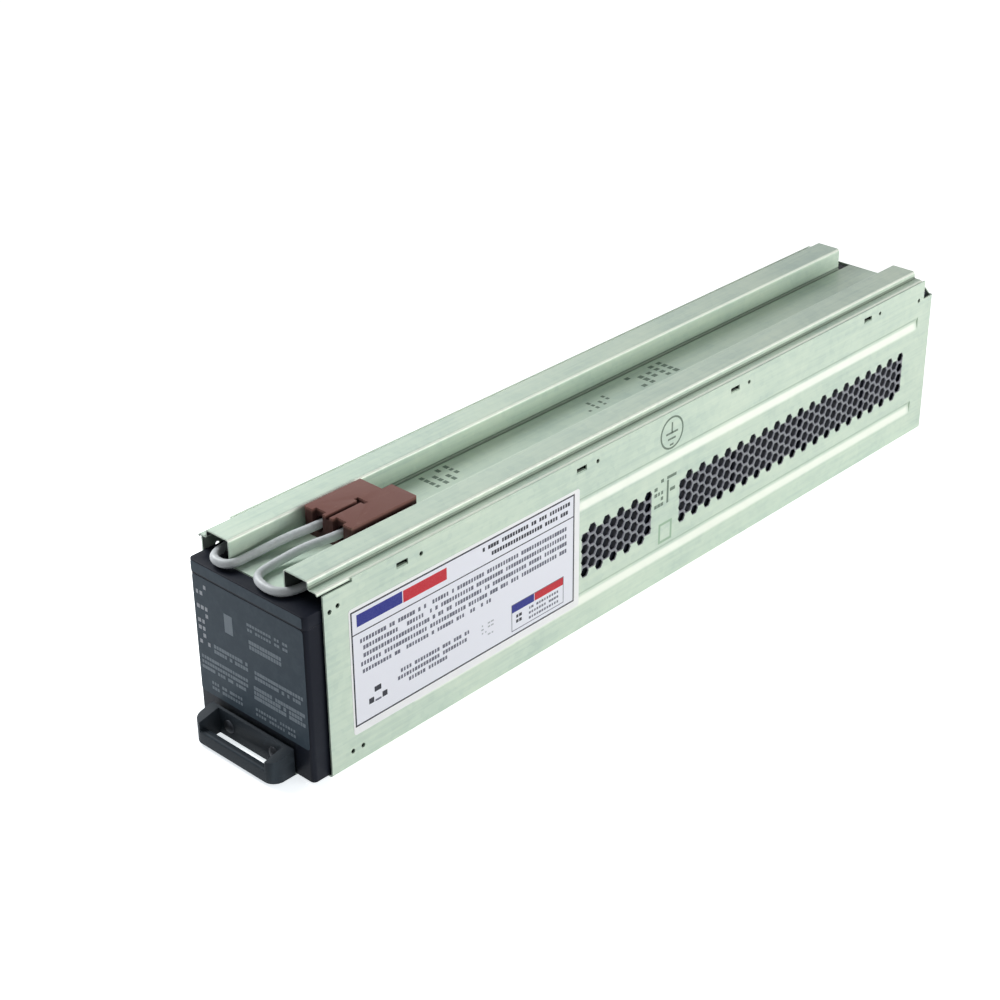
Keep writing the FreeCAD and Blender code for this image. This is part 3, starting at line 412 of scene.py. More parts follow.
@dataclass(frozen=True)
class MouldedPlastic:
    """Moulded plastic: fine grain, soft clouds, scuffs, paler edges and painted shade below a level."""

    name: str
    colour: Colour
    worn: Colour
    grain: float = 0.45 * MM
    cloud: float = 28 * MM
    scuff: float = 5 * MM
    stretch: Point = (1.0, 0.35, 1.0)
    roughness: float = 0.42
    depth: float = 0.06 * MM
    edge_wear: float = 0.0
    shine: float = 0.12
    painted_shade: Colour = tone(38, 22, 24)
    painted_shade_levels: tuple[float, ...] = ()
    painted_shade_share: float = 0.75

    def material(self) -> bpy.types.Material:
        """Make the plastic's material.

        Returns:
            The material.
        """
        skin = Skin(self.name)
        place = skin.place()
        grain = skin.noise(place, self.grain, 2.0)
        cloud = skin.noise(place, self.cloud, 3.0)
        scuff = skin.between(skin.noise(skin.place(self.stretch), self.scuff, 5.0, 0.7), 0.56, 0.74)
        wear = 0.22 * cloud + 0.3 * scuff
        if self.edge_wear:
            wear = wear + self.edge_wear * skin.node("ShaderNodeAttribute", {}, "Fac", attribute_name="wear")
        colour = skin.mix(wear, self.colour, self.worn)
        # Painted shade: the colour darkens below the given levels, where the channel's shadow falls.
        if self.painted_shade_levels:
            under = 1 - skin.between(skin.axes()[2], *self.painted_shade_levels)
            colour = skin.mix(self.painted_shade_share * under, colour, self.painted_shade)
        return skin.close(
            Base_Color=colour,
            Roughness=self.roughness - 0.06 + 0.12 * grain + 0.1 * scuff,
            Specular_IOR_Level=self.shine,
            Normal=skin.bump(grain + 0.4 * cloud, self.depth, 0.5),
        )


@dataclass(frozen=True)
class BareMetal:
    """Plated metal: brushed along its length with dull patches."""

    name: str
    bright: Colour
    dull: Colour
    roughness: float = 0.3
    metallic: float = 0.95
    brush: float = 0.35 * MM
    stretch: Point = (1.0, 0.06, 1.0)
    patch: float = 3 * MM
    depth: float = 0.03 * MM

    def material(self) -> bpy.types.Material:
        """Make the metal's material.

        Returns:
            The material.
        """
        skin = Skin(self.name)
        brush = skin.noise(skin.place(self.stretch), self.brush, 3.0)
        patch = skin.noise(skin.place(), self.patch, 4.0)
        return skin.close(
            Base_Color=skin.mix(skin.between(patch, 0.4, 0.7), self.bright, self.dull),
            Metallic=self.metallic - 0.2 * patch,
            Roughness=self.roughness + 0.14 * brush + 0.1 * patch,
            Normal=skin.bump(brush, self.depth, 0.4),
        )


@dataclass(frozen=True)
class WireInsulation:
    """Soft wire jacket: slightly uneven, with handling marks and a satin shine."""

    name: str
    colour: Colour
    soiled: Colour
    roughness: float = 0.34
    soil: float = 9 * MM
    speck: float = 0.8 * MM
    ripple: float = 4 * MM
    depth: float = 0.12 * MM

    def material(self) -> bpy.types.Material:
        """Make the jacket's material.

        Returns:
            The material.
        """
        skin = Skin(self.name)
        place = skin.place()
        soil = skin.between(skin.noise(place, self.soil, 4.0, 0.65), 0.45, 0.8)
        speck = skin.noise(place, self.speck, 2.0)
        ripple = skin.noise(place, self.ripple, 1.0)
        return skin.close(
            Base_Color=skin.mix(0.55 * soil + 0.12 * speck, self.colour, self.soiled),
            Roughness=self.roughness + 0.1 * soil + 0.06 * speck,
            Normal=skin.bump(0.7 * ripple + 0.2 * speck, self.depth, 0.4),
        )


@dataclass(frozen=True)
class CoatedFilm:
    """Label stock: fine paper tooth under a satin coat, with slight yellowing."""

    name: str
    colour: Colour
    shade: Colour
    roughness: float = 0.36
    mottle: float = 14 * MM
    shine: float = 0.3
    tooth: float = 0.3 * MM
    ripple: float = 22 * MM
    stretch: Point = (1.0, 0.5, 1.0)
    depth: float = 0.25 * MM

    def material(self) -> bpy.types.Material:
        """Make the film's material.

        Returns:
            The material.
        """
        skin = Skin(self.name)
        place = skin.place()
        tooth = skin.noise(place, self.tooth, 2.0)
        mottle = skin.noise(place, self.mottle, 4.0, 0.6)
        ripple = skin.noise(skin.place(self.stretch), self.ripple, 1.0)
        yellowing = 0.75 * skin.between(mottle, 0.35, 0.75) + 0.1 * tooth
        return skin.close(
            Base_Color=skin.mix(yellowing, self.colour, self.shade),
            Roughness=self.roughness + 0.08 * mottle + 0.04 * tooth,
            Specular_IOR_Level=self.shine,
            Normal=skin.bump(ripple + 0.05 * tooth, self.depth, 0.25),
        )


@dataclass(frozen=True)
class PrintedInk:
    """Printed ink: thin spots where the film shows through."""

    ink: Print
    film: float = 235.0
    thinning: float = 0.18
    roughness: float = 0.4
    screen: float = 0.5 * MM
    cover: float = 6 * MM
    shine: float = 0.2
    depth: float = 0.01 * MM

    def material(self) -> bpy.types.Material:
        """Make the ink's material.

        Returns:
            The material.
        """
        full = tone(*self.ink.value)
        thin = tone(*(channel + self.thinning * (self.film - channel) for channel in self.ink.value))
        skin = Skin(f"ink_{self.ink.name.lower()}")
        place = skin.place()
        screen = skin.noise(place, self.screen, 3.0)
        cover = skin.noise(place, self.cover, 2.0)
        return skin.close(
            Base_Color=skin.mix(0.6 * skin.between(screen, 0.45, 0.7) + 0.3 * cover, full, thin),
            Roughness=self.roughness + 0.12 * screen,
            Specular_IOR_Level=self.shine,
            Normal=skin.bump(screen, self.depth, 0.3),
        )


@dataclass(frozen=True)
class OpenFoam:
    """Dark foam with open pores."""

    name: str = "foam"
    colour: Colour = tone(52, 54, 58)
    pore: Colour = tone(22, 23, 26)
    roughness: float = 0.85
    cell: float = 1 / 900
    cloud: float = 12 * MM
    depth: float = 0.4 * MM

    def material(self) -> bpy.types.Material:
        """Make the foam's material.

        Returns:
            The material.
        """
        skin = Skin(self.name)
        place = skin.place()
        wall = skin.between(skin.cells(place, self.cell, "Distance"), 0.2, 0.55)
        cloud = skin.noise(place, self.cloud, 3.0)
        return skin.close(
            Base_Color=skin.mix(0.7 * wall + 0.2 * cloud, self.pore, self.colour),
            Roughness=self.roughness + 0.1 * cloud,
            Normal=skin.bump(wall, self.depth, 0.8),
        )


class Palette:
    """Every material of the object, made once."""

    def __init__(self) -> None:
        """Make the materials of the slots, of the vents' rims and of the inks."""
        plans = (
            PressedSteel(),
            MouldedPlastic("battery_plastic", tone(25, 28, 37), tone(41, 45, 56), edge_wear=0.5, shine=0.08),
            BareMetal("terminal_tin", tone(198, 198, 192), tone(150, 150, 146)),
            MouldedPlastic("link_insulation", tone(40, 40, 44), tone(66, 66, 70)),
            WireInsulation("lead_insulation", tone(206, 210, 212), tone(160, 166, 166)),
            # The connector's flanks and groove carry painted shade below its top.
            MouldedPlastic("connector_plastic", tone(116, 78, 72), tone(148, 118, 108),
                           edge_wear=0.8, shine=0.1, painted_shade_levels=mm(116.6, 118.3)),
            BareMetal("contact_silver", tone(224, 222, 214), tone(170, 166, 156)),
            MouldedPlastic("handle_plastic", tone(34, 40, 46), tone(72, 82, 90),
                           roughness=0.5, edge_wear=0.7),
            BareMetal("rivet_metal", tone(52, 55, 60), tone(36, 38, 42), roughness=0.4),
            CoatedFilm("label_film", tone(250, 250, 251), tone(243, 244, 248)),
            CoatedFilm("front_film", tone(60, 73, 84), tone(74, 87, 97),
                       roughness=0.42, mottle=6 * MM, shine=0.12),
            OpenFoam(),
        )
        self.finishes = {Finish(plan.name): plan.material() for plan in plans}
        self.rims = GalvanisedSteel(
            "vent_rim_steel", tone(150, 148, 160), tone(128, 126, 140), tone(104, 102, 116),
        ).material()
        self.inks = {ink: PrintedInk(ink).material() for ink in Print}


def add_object(name: str, data: bpy.types.ID) -> bpy.types.Object:
    """Put a mesh, curve, lamp or camera into the scene.

    Args:
        name: Name of the object.
        data: What it shows.

    Returns:
        The object.
    """
    thing = bpy.data.objects.new(name, data)
    bpy.context.scene.collection.objects.link(thing)
    return thing


def settled(carrier: bpy.types.Object) -> bpy.types.Mesh:
    """Turn an object with its modifiers into a plain mesh.

    Args:
        carrier: The object, which is removed.

    Returns:
        The mesh.
    """
    bpy.context.view_layer.update()
    mesh = bpy.data.meshes.new_from_object(carrier.evaluated_get(bpy.context.evaluated_depsgraph_get()))
    bpy.data.objects.remove(carrier)
    return mesh


def mesh_from(work: bmesh.types.BMesh, place: Matrix = TOP_FACE) -> bpy.types.Mesh:
    """Turn finished mesh work into a mesh.

    Args:
        work: The mesh under work, which is freed.
        place: Where flat work goes.

    Returns:
        The mesh.
    """
    mesh = bpy.data.meshes.new("piece")
    work.to_mesh(mesh)
    work.free()
    mesh.transform(place)
    return mesh


def slab(work: bmesh.types.BMesh, low: Point, high: Point) -> None:
    """Add a closed block between two corners."""
    low, high = Vector(low), Vector(high)
    bmesh.ops.create_cube(work, size=1.0, matrix=Matrix.LocRotScale((low + high) / 2, None, high - low))


def turn(
    work: bmesh.types.BMesh, outline: Sequence[Pair], turns: int, place: Matrix, closed: bool = False,
) -> None:
    """Turn an outline round the local z axis.

    Args:
        work: The mesh under work.
        outline: Radius and height of each point; a radius of 0 gives a tip.
        turns: Faces round the axis.
        place: Where the local axes go.
        closed: Whether the last point joins the first; if not, a flat face ends it.
    """
    rings = []
    for radius, height in outline:
        angles = [math.tau * step / turns for step in range(turns if radius else 1)]
        rings.append([
            work.verts.new(place @ Vector((radius * math.cos(angle), radius * math.sin(angle), height)))
            for angle in angles
        ])
    for one, two in zip(rings, rings[1:] + rings[:1] if closed else rings[1:]):
        for step in range(turns):
            corners = ((one, step), (one, step + 1), (two, step + 1), (two, step))
            work.faces.new(list(dict.fromkeys(ring[number % len(ring)] for ring, number in corners)))
    if not closed:
        work.faces.new(rings[-1])
    bmesh.ops.recalc_face_normals(work, faces=work.faces)


def rounded_plate(low: Point, high: Point, corner: float, face: Matrix, steps: int = 6) -> bpy.types.Mesh:
    """Make a flat plate with round corners.

    Args:
        low: Lower left corner of the back, in the face's axes.
        high: Upper right corner of the front.
        corner: Radius of the corners.
        face: The face that carries the plate.
        steps: Faces round a corner.

    Returns:
        The mesh.
    """
    middle = ((low[0] + high[0]) / 2, (low[1] + high[1]) / 2)
    reach = ((high[0] - low[0]) / 2 - corner, (high[1] - low[1]) / 2 - corner)
    rim = []
    for quarter, (across, up) in enumerate(((1, 1), (-1, 1), (-1, -1), (1, -1))):
        for step in range(steps + 1):
            angle = math.pi / 2 * (quarter + step / steps)
            rim.append((middle[0] + across * reach[0] + corner * math.cos(angle),
                        middle[1] + up * reach[1] + corner * math.sin(angle)))
    work = bmesh.new()
    lower, upper = ([work.verts.new((x, y, level)) for x, y in rim] for level in (low[2], high[2]))
    work.faces.new(upper)
    work.faces.new(lower[::-1])
    for step, (one, two) in enumerate(zip(lower, upper)):
        after = (step + 1) % len(rim)
        work.faces.new((one, lower[after], upper[after], two))
    return mesh_from(work, face)


def softened(node: str, width: float) -> bpy.types.Mesh:
    """Copy a node of the model with soft edges and a number for wear at its corners.

    Args:
        node: The node's name.
        width: Width of the soft edges.

    Returns:
        The new mesh.
    """
    work = bmesh.new()
    work.from_mesh(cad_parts[node].data)
    bmesh.ops.remove_doubles(work, verts=work.verts, dist=MERGE_DISTANCE)
    bmesh.ops.dissolve_limit(work, angle_limit=FLAT_ANGLE, verts=work.verts, edges=work.edges)
    for face in work.faces:
        face.smooth = True
    carrier = add_object("carrier", mesh_from(work))
    bevel = carrier.modifiers.new("soft_edges", "BEVEL")
    bevel.width = width
    bevel.segments = EDGE_STEPS
    bevel.limit_method = "ANGLE"
    bevel.angle_limit = EDGE_ANGLE
    bevel.harden_normals = True
    soft = settled(carrier)
    wear = soft.attributes.new("wear", "FLOAT", "POINT")
    for vertex, value in zip(soft.vertices, wear.data):
        value.value = min(1.0, WEAR_GAIN * (1.0 - max(abs(part) for part in vertex.normal)))
    return soft


class Recipe(Graph):
    """A Geometry Nodes tree with named inputs, run to make a plain mesh."""

    COUNT = "NodeSocketInt"
    NUMBER = "NodeSocketFloat"
    FINISH = "NodeSocketMaterial"

    def __init__(self, name: str, inputs: Mapping[str, Sequence[str]]) -> None:
        """Start a tree with its inputs and one output.

        Args:
            name: Name of the tree.
            inputs: The labels of its inputs under each kind of socket.
        """
        super().__init__(bpy.data.node_groups.new(name, "GeometryNodeTree"))
        face = self.tree.interface
        self.keys = {
            label: face.new_socket(name=label, in_out="INPUT", socket_type=kind).identifier
            for kind, labels in inputs.items() for label in labels
        }
        face.new_socket(name="Geometry", in_out="OUTPUT", socket_type="NodeSocketGeometry")
        self.entry = self.tree.nodes.new("NodeGroupInput")

    def given(self, label: str) -> Signal:
        """Read one input of the tree."""
        return Signal(self, self.entry.outputs[label])

    def vector(self, x: Value, y: Value, z: Value) -> Signal:
        """Join three numbers into a vector."""
        return self.node("ShaderNodeCombineXYZ", {"X": x, "Y": y, "Z": z})

    def random(self, low: Value, high: Value, seed: Value) -> Signal:
        """Give each point a number of its own."""
        inputs = {"Min_001": low, "Max_001": high, "Seed": seed}
        return self.node("FunctionNodeRandomValue", inputs, "Value_001", data_type="FLOAT")

    def close(self, **instances: Value) -> None:
        """End the tree in real geometry that wears the finish.

        Args:
            instances: What stands on which points.
        """
        shape = self.node("GeometryNodeInstanceOnPoints", instances)
        real = self.node("GeometryNodeRealizeInstances", {"Geometry": shape})
        worn = self.node("GeometryNodeSetMaterial", {"Geometry": real, "Material": self.given("Finish")})
        self.node("NodeGroupOutput", {"Geometry": worn})

    def make(self, place: Matrix, values: Mapping[str, Value]) -> bpy.types.Mesh:
        """Run the tree.

        Args:
            place: Where the flat work goes.
            values: A value for each named input.

        Returns:
            A plain mesh.
        """
        carrier = add_object("carrier", bpy.data.meshes.new("carrier"))
        modifier = carrier.modifiers.new("recipe", "NODES")
        modifier.node_group = self.tree
        for label, value in values.items():
            modifier[self.keys[label]] = value
        mesh = settled(carrier)
        mesh.transform(place)
        return mesh


class VentRims(Recipe):
    """Rolled rims in a staggered field of six-sided vents."""

    def __init__(self) -> None:
        """Build the tree: a grid whose every second column stands higher, with a ring at each point."""
        super().__init__("vent_rims", {
            self.COUNT: ("Columns", "Rows"),
            self.NUMBER: ("Column step", "Row step", "Shift", "Across flats", "Roll"),
            self.FINISH: ("Finish",),
        })
        columns, rows, step = self.given("Columns"), self.given("Rows"), self.given("Column step")
        length = (columns - 1) * step
        height = (rows - 1) * self.given("Row step")
        grid = self.node("GeometryNodeMeshGrid", {
            "Size X": length, "Size Y": height, "Vertices X": columns, "Vertices Y": rows,
        })
        along = self.node("ShaderNodeSeparateXYZ", {"Vector": self.node("GeometryNodeInputPosition")}, "X")
        column = (along + length / 2) / step + 0.5
        second = (column % 2) > 1
        offset = self.vector(length / 2, height / 2 + second * self.given("Shift"), 0.0)
        points = self.node("GeometryNodeSetPosition", {"Geometry": grid, "Offset": offset})
        ring, roll = (
            self.node("GeometryNodeCurvePrimitiveCircle", {"Resolution": sides, "Radius": radius})
            for sides, radius in ((6, self.given("Across flats") / math.sqrt(3)), (4, self.given("Roll")))
        )
        rim = self.node("GeometryNodeCurveToMesh", {"Curve": ring, "Profile Curve": roll})
        self.close(Points=points, Instance=rim)


class PrintRows(Recipe):
    """Rows of plain bars of uneven length, as small print looks from afar."""

    def __init__(self) -> None:
        """Build the tree: a grid of points with a bar at most of them."""
        super().__init__("print_rows", {
            self.COUNT: ("Rows", "Bars", "Seed"),
            self.NUMBER: ("Row step", "Bar step", "Bar height", "Ink", "Shortest", "Longest", "Left out"),
            self.FINISH: ("Finish",),
        })
        bars, rows, step = self.given("Bars"), self.given("Rows"), self.given("Bar step")
        grid = self.node("GeometryNodeMeshGrid", {
            "Size X": (bars - 1) * step, "Size Y": (rows - 1) * self.given("Row step"),
            "Vertices X": bars, "Vertices Y": rows,
        })
        seed = self.given("Seed")
        share = self.random(self.given("Shortest"), self.given("Longest"), seed)
        kept = self.random(0.0, 1.0, seed + 1) > self.given("Left out")
        bar = self.node("GeometryNodeMeshCube", {"Size": (1.0, 1.0, 1.0)})
        size = self.vector(share * step, self.given("Bar height"), self.given("Ink"))
        self.close(Points=grid, Selection=kept, Instance=bar, Scale=size)


@dataclass(frozen=True)
class Lamp:
    """A flat soft lamp that faces the object."""

    name: str
    place: Point
    width: float
    height: float
    power: float
    colour: Point

    def hang(self) -> None:
        """Put the lamp into the scene."""
        data = bpy.data.lights.new(self.name, "AREA")
        data.shape = "RECTANGLE"
        data.size, data.size_y = self.width, self.height
        data.energy, data.color = self.power, self.colour
        lamp = add_object(self.name, data)
        lamp.location = self.place
        lamp.rotation_euler = Vector(self.place).to_track_quat("Z", "Y").to_euler()


@dataclass
class Studio:
    """Camera, lamps, white surround and pale floor."""

    eye: Point = (0.70511, -0.82903, 0.63498)
    azimuth: float = math.radians(43.43)
    elevation: float = math.radians(28.59)
    roll: float = math.radians(-0.55)
    lens: float = 73.47
    sensor: float = 36.0
    floor_radius: float = 7.0
    floor_sides: int = 64
    floor_drop: float = 0.2 * MM
    floor_cloud: float = 0.4
    floor_paint: tuple[Colour, Colour] = (tone(243, 244, 246), tone(240, 241, 243))
    floor_lift: float = 0.88
    fill: float = 0.16
    fill_colour: Colour = (0.94, 0.98, 1.0, 1.0)
    shade_spot: Point = (-0.012, -0.288, 0.0)
    shade_reach: Pair = (0.035, 0.1)
    shade: Colour = (0.8, 0.84, 0.87, 1.0)
    lamps: tuple[Lamp, ...] = (
        Lamp("key_lamp", (1.88, 0.72, 0.5), 1.8, 0.7, 30.0, (1.0, 1.0, 0.97)),
        Lamp("rail_lamp", (-0.38, -0.28, 0.47), 0.3, 0.3, 3.0, (0.97, 0.99, 1.0)),
    )

    def build(self) -> None:
        """Set up everything round the object."""
        self.place_camera()
        for lamp in self.lamps:
            lamp.hang()
        self.surround()
        self.lay_floor()
        bpy.context.scene.view_settings.view_transform = "Standard"
        log.info("studio")

    def place_camera(self) -> None:
        """Stand the camera at the photograph's viewpoint."""
        level, rise = math.cos(self.elevation), math.sin(self.elevation)
        back = Vector((math.sin(self.azimuth) * level, -math.cos(self.azimuth) * level, rise))
        right = (-back).cross(Vector((0, 0, 1))).normalized()
        up = right.cross(-back)
        side = right * math.cos(self.roll) + up * math.sin(self.roll)
        top = up * math.cos(self.roll) - right * math.sin(self.roll)
        data = bpy.data.cameras.new("camera")
        data.lens = self.lens
        data.sensor_width = self.sensor
        camera = add_object("camera", data)
        camera.matrix_world = Matrix.Translation(self.eye) @ Matrix((side, top, back)).transposed().to_4x4()
        bpy.context.scene.camera = camera

    @staticmethod
    def seen(graph: Graph) -> Signal:
        """Find the rays that show the background: straight, mirrored or through glass.

        Args:
            graph: The graph that asks.

        Returns:
            1 for these rays and 0 for the others.
        """
        straight, mirrored, through = (
            graph.node("ShaderNodeLightPath", output=f"Is {kind} Ray")
            for kind in ("Camera", "Glossy", "Transmission")
        )
        return straight.maths("MAXIMUM", straight.maths("MAXIMUM", straight, mirrored), through)

    def surround(self) -> None:
        """Fill the world with white that lights the object softly."""
        world = bpy.data.worlds.new("surround")
        bpy.context.scene.world = world
        world.use_nodes = True
        graph = Graph(world.node_tree)
        light, white = (
            graph.node("ShaderNodeBackground", {"Color": colour, "Strength": strength})
            for colour, strength in ((self.fill_colour, self.fill), (WHITE, 1.0))
        )
        both = graph.node("ShaderNodeMixShader", {0: self.seen(graph), 1: light, 2: white})
        graph.node("ShaderNodeOutputWorld", {"Surface": both})

    def lay_floor(self) -> None:
        """Lay a round white floor that keeps the object's shadow."""
        work = bmesh.new()
        bmesh.ops.create_circle(work, cap_ends=True, segments=self.floor_sides, radius=self.floor_radius)
        floor = add_object("floor", mesh_from(work))
        floor.location.z = -self.floor_drop
        skin = Skin("floor_paint")
        cloud = skin.noise(skin.place(), self.floor_cloud, 2.0)
        paint = skin.node("ShaderNodeBsdfDiffuse", {"Color": skin.mix(cloud, *self.floor_paint)})
        spot = {0: skin.place(), 1: self.shade_spot}
        away = skin.node("ShaderNodeVectorMath", spot, "Value", operation="DISTANCE")
        glow = skin.node("ShaderNodeEmission", {
            "Color": skin.mix(skin.between(away, *self.shade_reach), self.shade, WHITE),
            "Strength": self.floor_lift * self.seen(skin),
        })
        both = skin.node("ShaderNodeAddShader", {0: paint, 1: glow})
        skin.node("ShaderNodeOutputMaterial", {"Surface": both})
        floor.data.materials.append(skin.material)


@dataclass
class Assembly:
    """A sub-assembly, whose pieces ride on the object and wear its finishes."""

    palette: Palette

    def add(
        self,
        name: str,
        data: bpy.types.ID,
        slot: Finish,
        material: Optional[bpy.types.Material] = None,
        replaced: Sequence[str] = (),
    ) -> bpy.types.Object:
        """Let a finished piece ride on the object.

        Args:
            name: The piece's name.
            data: Its mesh or curve.
            slot: The slot that it takes its finish from.
            material: Its material, if not the slot's own.
            replaced: The nodes of the model that it stands for.

        Returns:
            The piece.
        """
        data.name = name
        data.materials.clear()
        data.materials.append(material or self.palette.finishes[slot])
        piece = add_object(name, data)
        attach(piece, BODY)
        if replaced:
            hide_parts(*replaced)
        log.info("piece %s", piece.name)
        return piece

    def dress(self, slot: Finish, *nodes: str) -> None:
        """Give nodes of the model a finish.

        Args:
            slot: The finish.
            nodes: Names of the nodes.
        """
        for name in nodes:
            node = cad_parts[name]
            if not node.material_slots:
                node.data.materials.append(self.palette.finishes[slot])
            for place in node.material_slots:
                place.material = self.palette.finishes[slot]
            log.info("dressed %s", name)


@dataclass(frozen=True)
class Lead:
    """One free lead: a round wire on a smooth line along its chosen points, in millimetres."""

    node: str
    route: tuple[Point, ...]
    exit: Point
    length: float
    diameter: float = 5.0

    def curve(self) -> bpy.types.Curve:
        """Make the wire.

        Returns:
            The curve.
        """
        data = bpy.data.curves.new(self.node, "CURVE")
        data.dimensions = "3D"
        data.bevel_depth = self.diameter / 2 * MM
        data.bevel_resolution = 6
        data.resolution_u = 16
        data.use_fill_caps = True
        spline = data.splines.new("NURBS")
        spline.points.add(len(self.route) - 1)
        for point, place in zip(spline.points, self.route):
            point.co = (*mm(*place), 1.0)
        spline.order_u = 3
        spline.use_endpoint_u = True
        spline.use_smooth = True
        return data

    def declare(self, wire: bpy.types.Object, *pieces: Union[str, bpy.types.Object]) -> None:
        """Take no step: nothing here marks the wire as a free cord.

        Args:
            wire: The wire; not used.
            pieces: What is on its end; not used.
        """


@dataclass
class Wiring(Assembly):
    """The two free leads with their connector, and the wiring that the cover hides."""

    housing_edge: float = 0.45 * MM
    positive: Lead = Lead("positive_lead", (
        (-33.0, -254.25, 106.5), (-33.0, -269.6, 106.5), (-16.8, -270.4, 105.7), (-16.8, -250.5, 105.9),
        (-12.6, -232.0, 109.2), (-7.9, -217.2, 110.95), (-7.9, -204.25, 110.95),
    ), (-33.0, -264.85, 106.5), 91.0)
    negative: Lead = Lead("negative_lead", (
        (25.5, -254.25, 104.9), (25.5, -270.0, 104.9), (0.8, -269.4, 105.7), (-1.4, -249.5, 106.0),
        (1.6, -232.0, 109.0), (7.9, -217.6, 110.95), (7.9, -204.25, 110.95),
    ), (25.5, -264.85, 104.9), 98.0)

    def build(self) -> None:
        """Make the leads and the connector, and dress the rest."""
        positive, negative = (
            self.add(f"{lead.node}_wire", lead.curve(), Finish.LEAD, replaced=[lead.node])
            for lead in (self.positive, self.negative)
        )
        soft = softened("connector_housing", self.housing_edge)
        housing = self.add("connector_body", soft, Finish.CONNECTOR, replaced=["connector_housing"])
        contacts = ["connector_contact_positive", "connector_contact_negative"]
        self.dress(Finish.CONTACT, *contacts)
        self.positive.declare(positive, housing, contacts[0])
        self.negative.declare(negative, contacts[1])
        self.dress(Finish.LINK, *sorted(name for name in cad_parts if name.startswith("link_")))
        self.dress(Finish.LEAD, "positive_tail", "negative_tail")


@dataclass
class SheetMetal(Assembly):
    """Tray and cover, with rolled rims in the vents and an earth mark on the wall."""

    steel_front: float = -262.25 * MM
    sheet: float = 1.0 * MM
    flats: float = 6.2 * MM
    roll: float = 0.36 * MM
    column_step: float = 6.25 * MM
    row_step: float = 7.55 * MM
    rows: int = 4
    lowest: float = 37.7 * MM
    shift: float = 4.1 * MM
    fields: tuple[tuple[float, int], ...] = ((198.6 * MM, 10), (287.0 * MM, 38))
    mark_along: float = 275.0 * MM
    mark_level: float = 99.0 * MM
    mark_radius: float = 10.6 * MM
    mark_line: float = 1.2 * MM
    mark_rise: float = 0.08 * MM
    mark_turns: int = 48
    mark_stem: float = 0.72
    mark_bars: tuple[float, ...] = (0.58, 0.38, 0.18)
    mark_step: float = 3.2

    def build(self) -> None:
        """Dress the sheets and add the rims and the mark."""
        self.dress(Finish.STEEL, "tray", "top_cover")
        low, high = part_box("tray")
        rims = VentRims()
        for side, outside in (("right", high.x), ("left", low.x)):
            middle = outside - math.copysign(self.sheet / 2, outside)
            for number, (start, columns) in enumerate(self.fields, start=1):
                place = Matrix.Translation((middle, self.steel_front + start, self.lowest)) @ SIDE_FACE
                mesh = rims.make(place, {
                    "Columns": columns, "Rows": self.rows, "Column step": self.column_step,
                    "Row step": self.row_step, "Shift": self.shift, "Across flats": self.flats,
                    "Roll": self.roll, "Finish": self.palette.rims,
                })
                self.add(f"vent_rims_{side}_{number}", mesh, Finish.STEEL, self.palette.rims)
        self.add_earth_mark(high.x)

    def add_earth_mark(self, wall: float) -> None:
        """Add the plain earth mark: a ring, a stem and three shorter and shorter bars.

        Args:
            wall: X of the wall's outside.
        """
        work = bmesh.new()
        outer, inner = self.mark_radius, self.mark_radius - self.mark_line
        rise, half = self.mark_rise, self.mark_line / 2
        ring = ((inner, -rise), (inner, rise), (outer, rise), (outer, -rise))
        turn(work, ring, self.mark_turns, TOP_FACE, closed=True)
        slab(work, (-half, -half, -rise), (half, self.mark_stem * inner, rise))
        for number, share in enumerate(self.mark_bars):
            level = -number * self.mark_step * self.mark_line
            slab(work, (-share * inner, level - half, -rise), (share * inner, level + half, rise))
        place = Matrix.Translation((wall, self.steel_front + self.mark_along, self.mark_level))
        self.add("earth_mark", mesh_from(work, place @ SIDE_FACE), Finish.STEEL, self.palette.inks[STAMP])


@dataclass(frozen=True)
class Rows:
    """A block of printed rows: its middle, counts, steps and bar sizes, in millimetres."""

    ink: Print
    middle: Pair
    rows: int
    bars: int
    row_step: float
    bar_step: float
    height: float
    shortest: float
    longest: float
    left_out: float


@dataclass(frozen=True)
class Patch:
    """A printed rectangle, from its lower left to its upper right corner, in millimetres."""

    ink: Print
    low: Pair
    high: Pair

    def outline(self, line: float) -> tuple["Patch", ...]:
        """Give the frame of this rectangle.

        Args:
            line: Width of the line.

        Returns:
            The four thin patches inside its sides.
        """
        (left, bottom), (right, top) = self.low, self.high
        return tuple(Patch(self.ink, low, high) for low, high in (
            ((left, bottom), (right, bottom + line)),
            ((left, top - line), (right, top)),
            ((left, bottom + line), (left + line, top - line)),
            ((right - line, bottom + line), (right, top - line)),
        ))


@dataclass(frozen=True)
class Sheet:
    """A layout of generic print on a face; a label's film lies where its node is."""

    name: str
    slot: Finish
    face: Matrix
    rows: tuple[Rows, ...]
    patches: tuple[Patch, ...] = ()
    node: str = ""


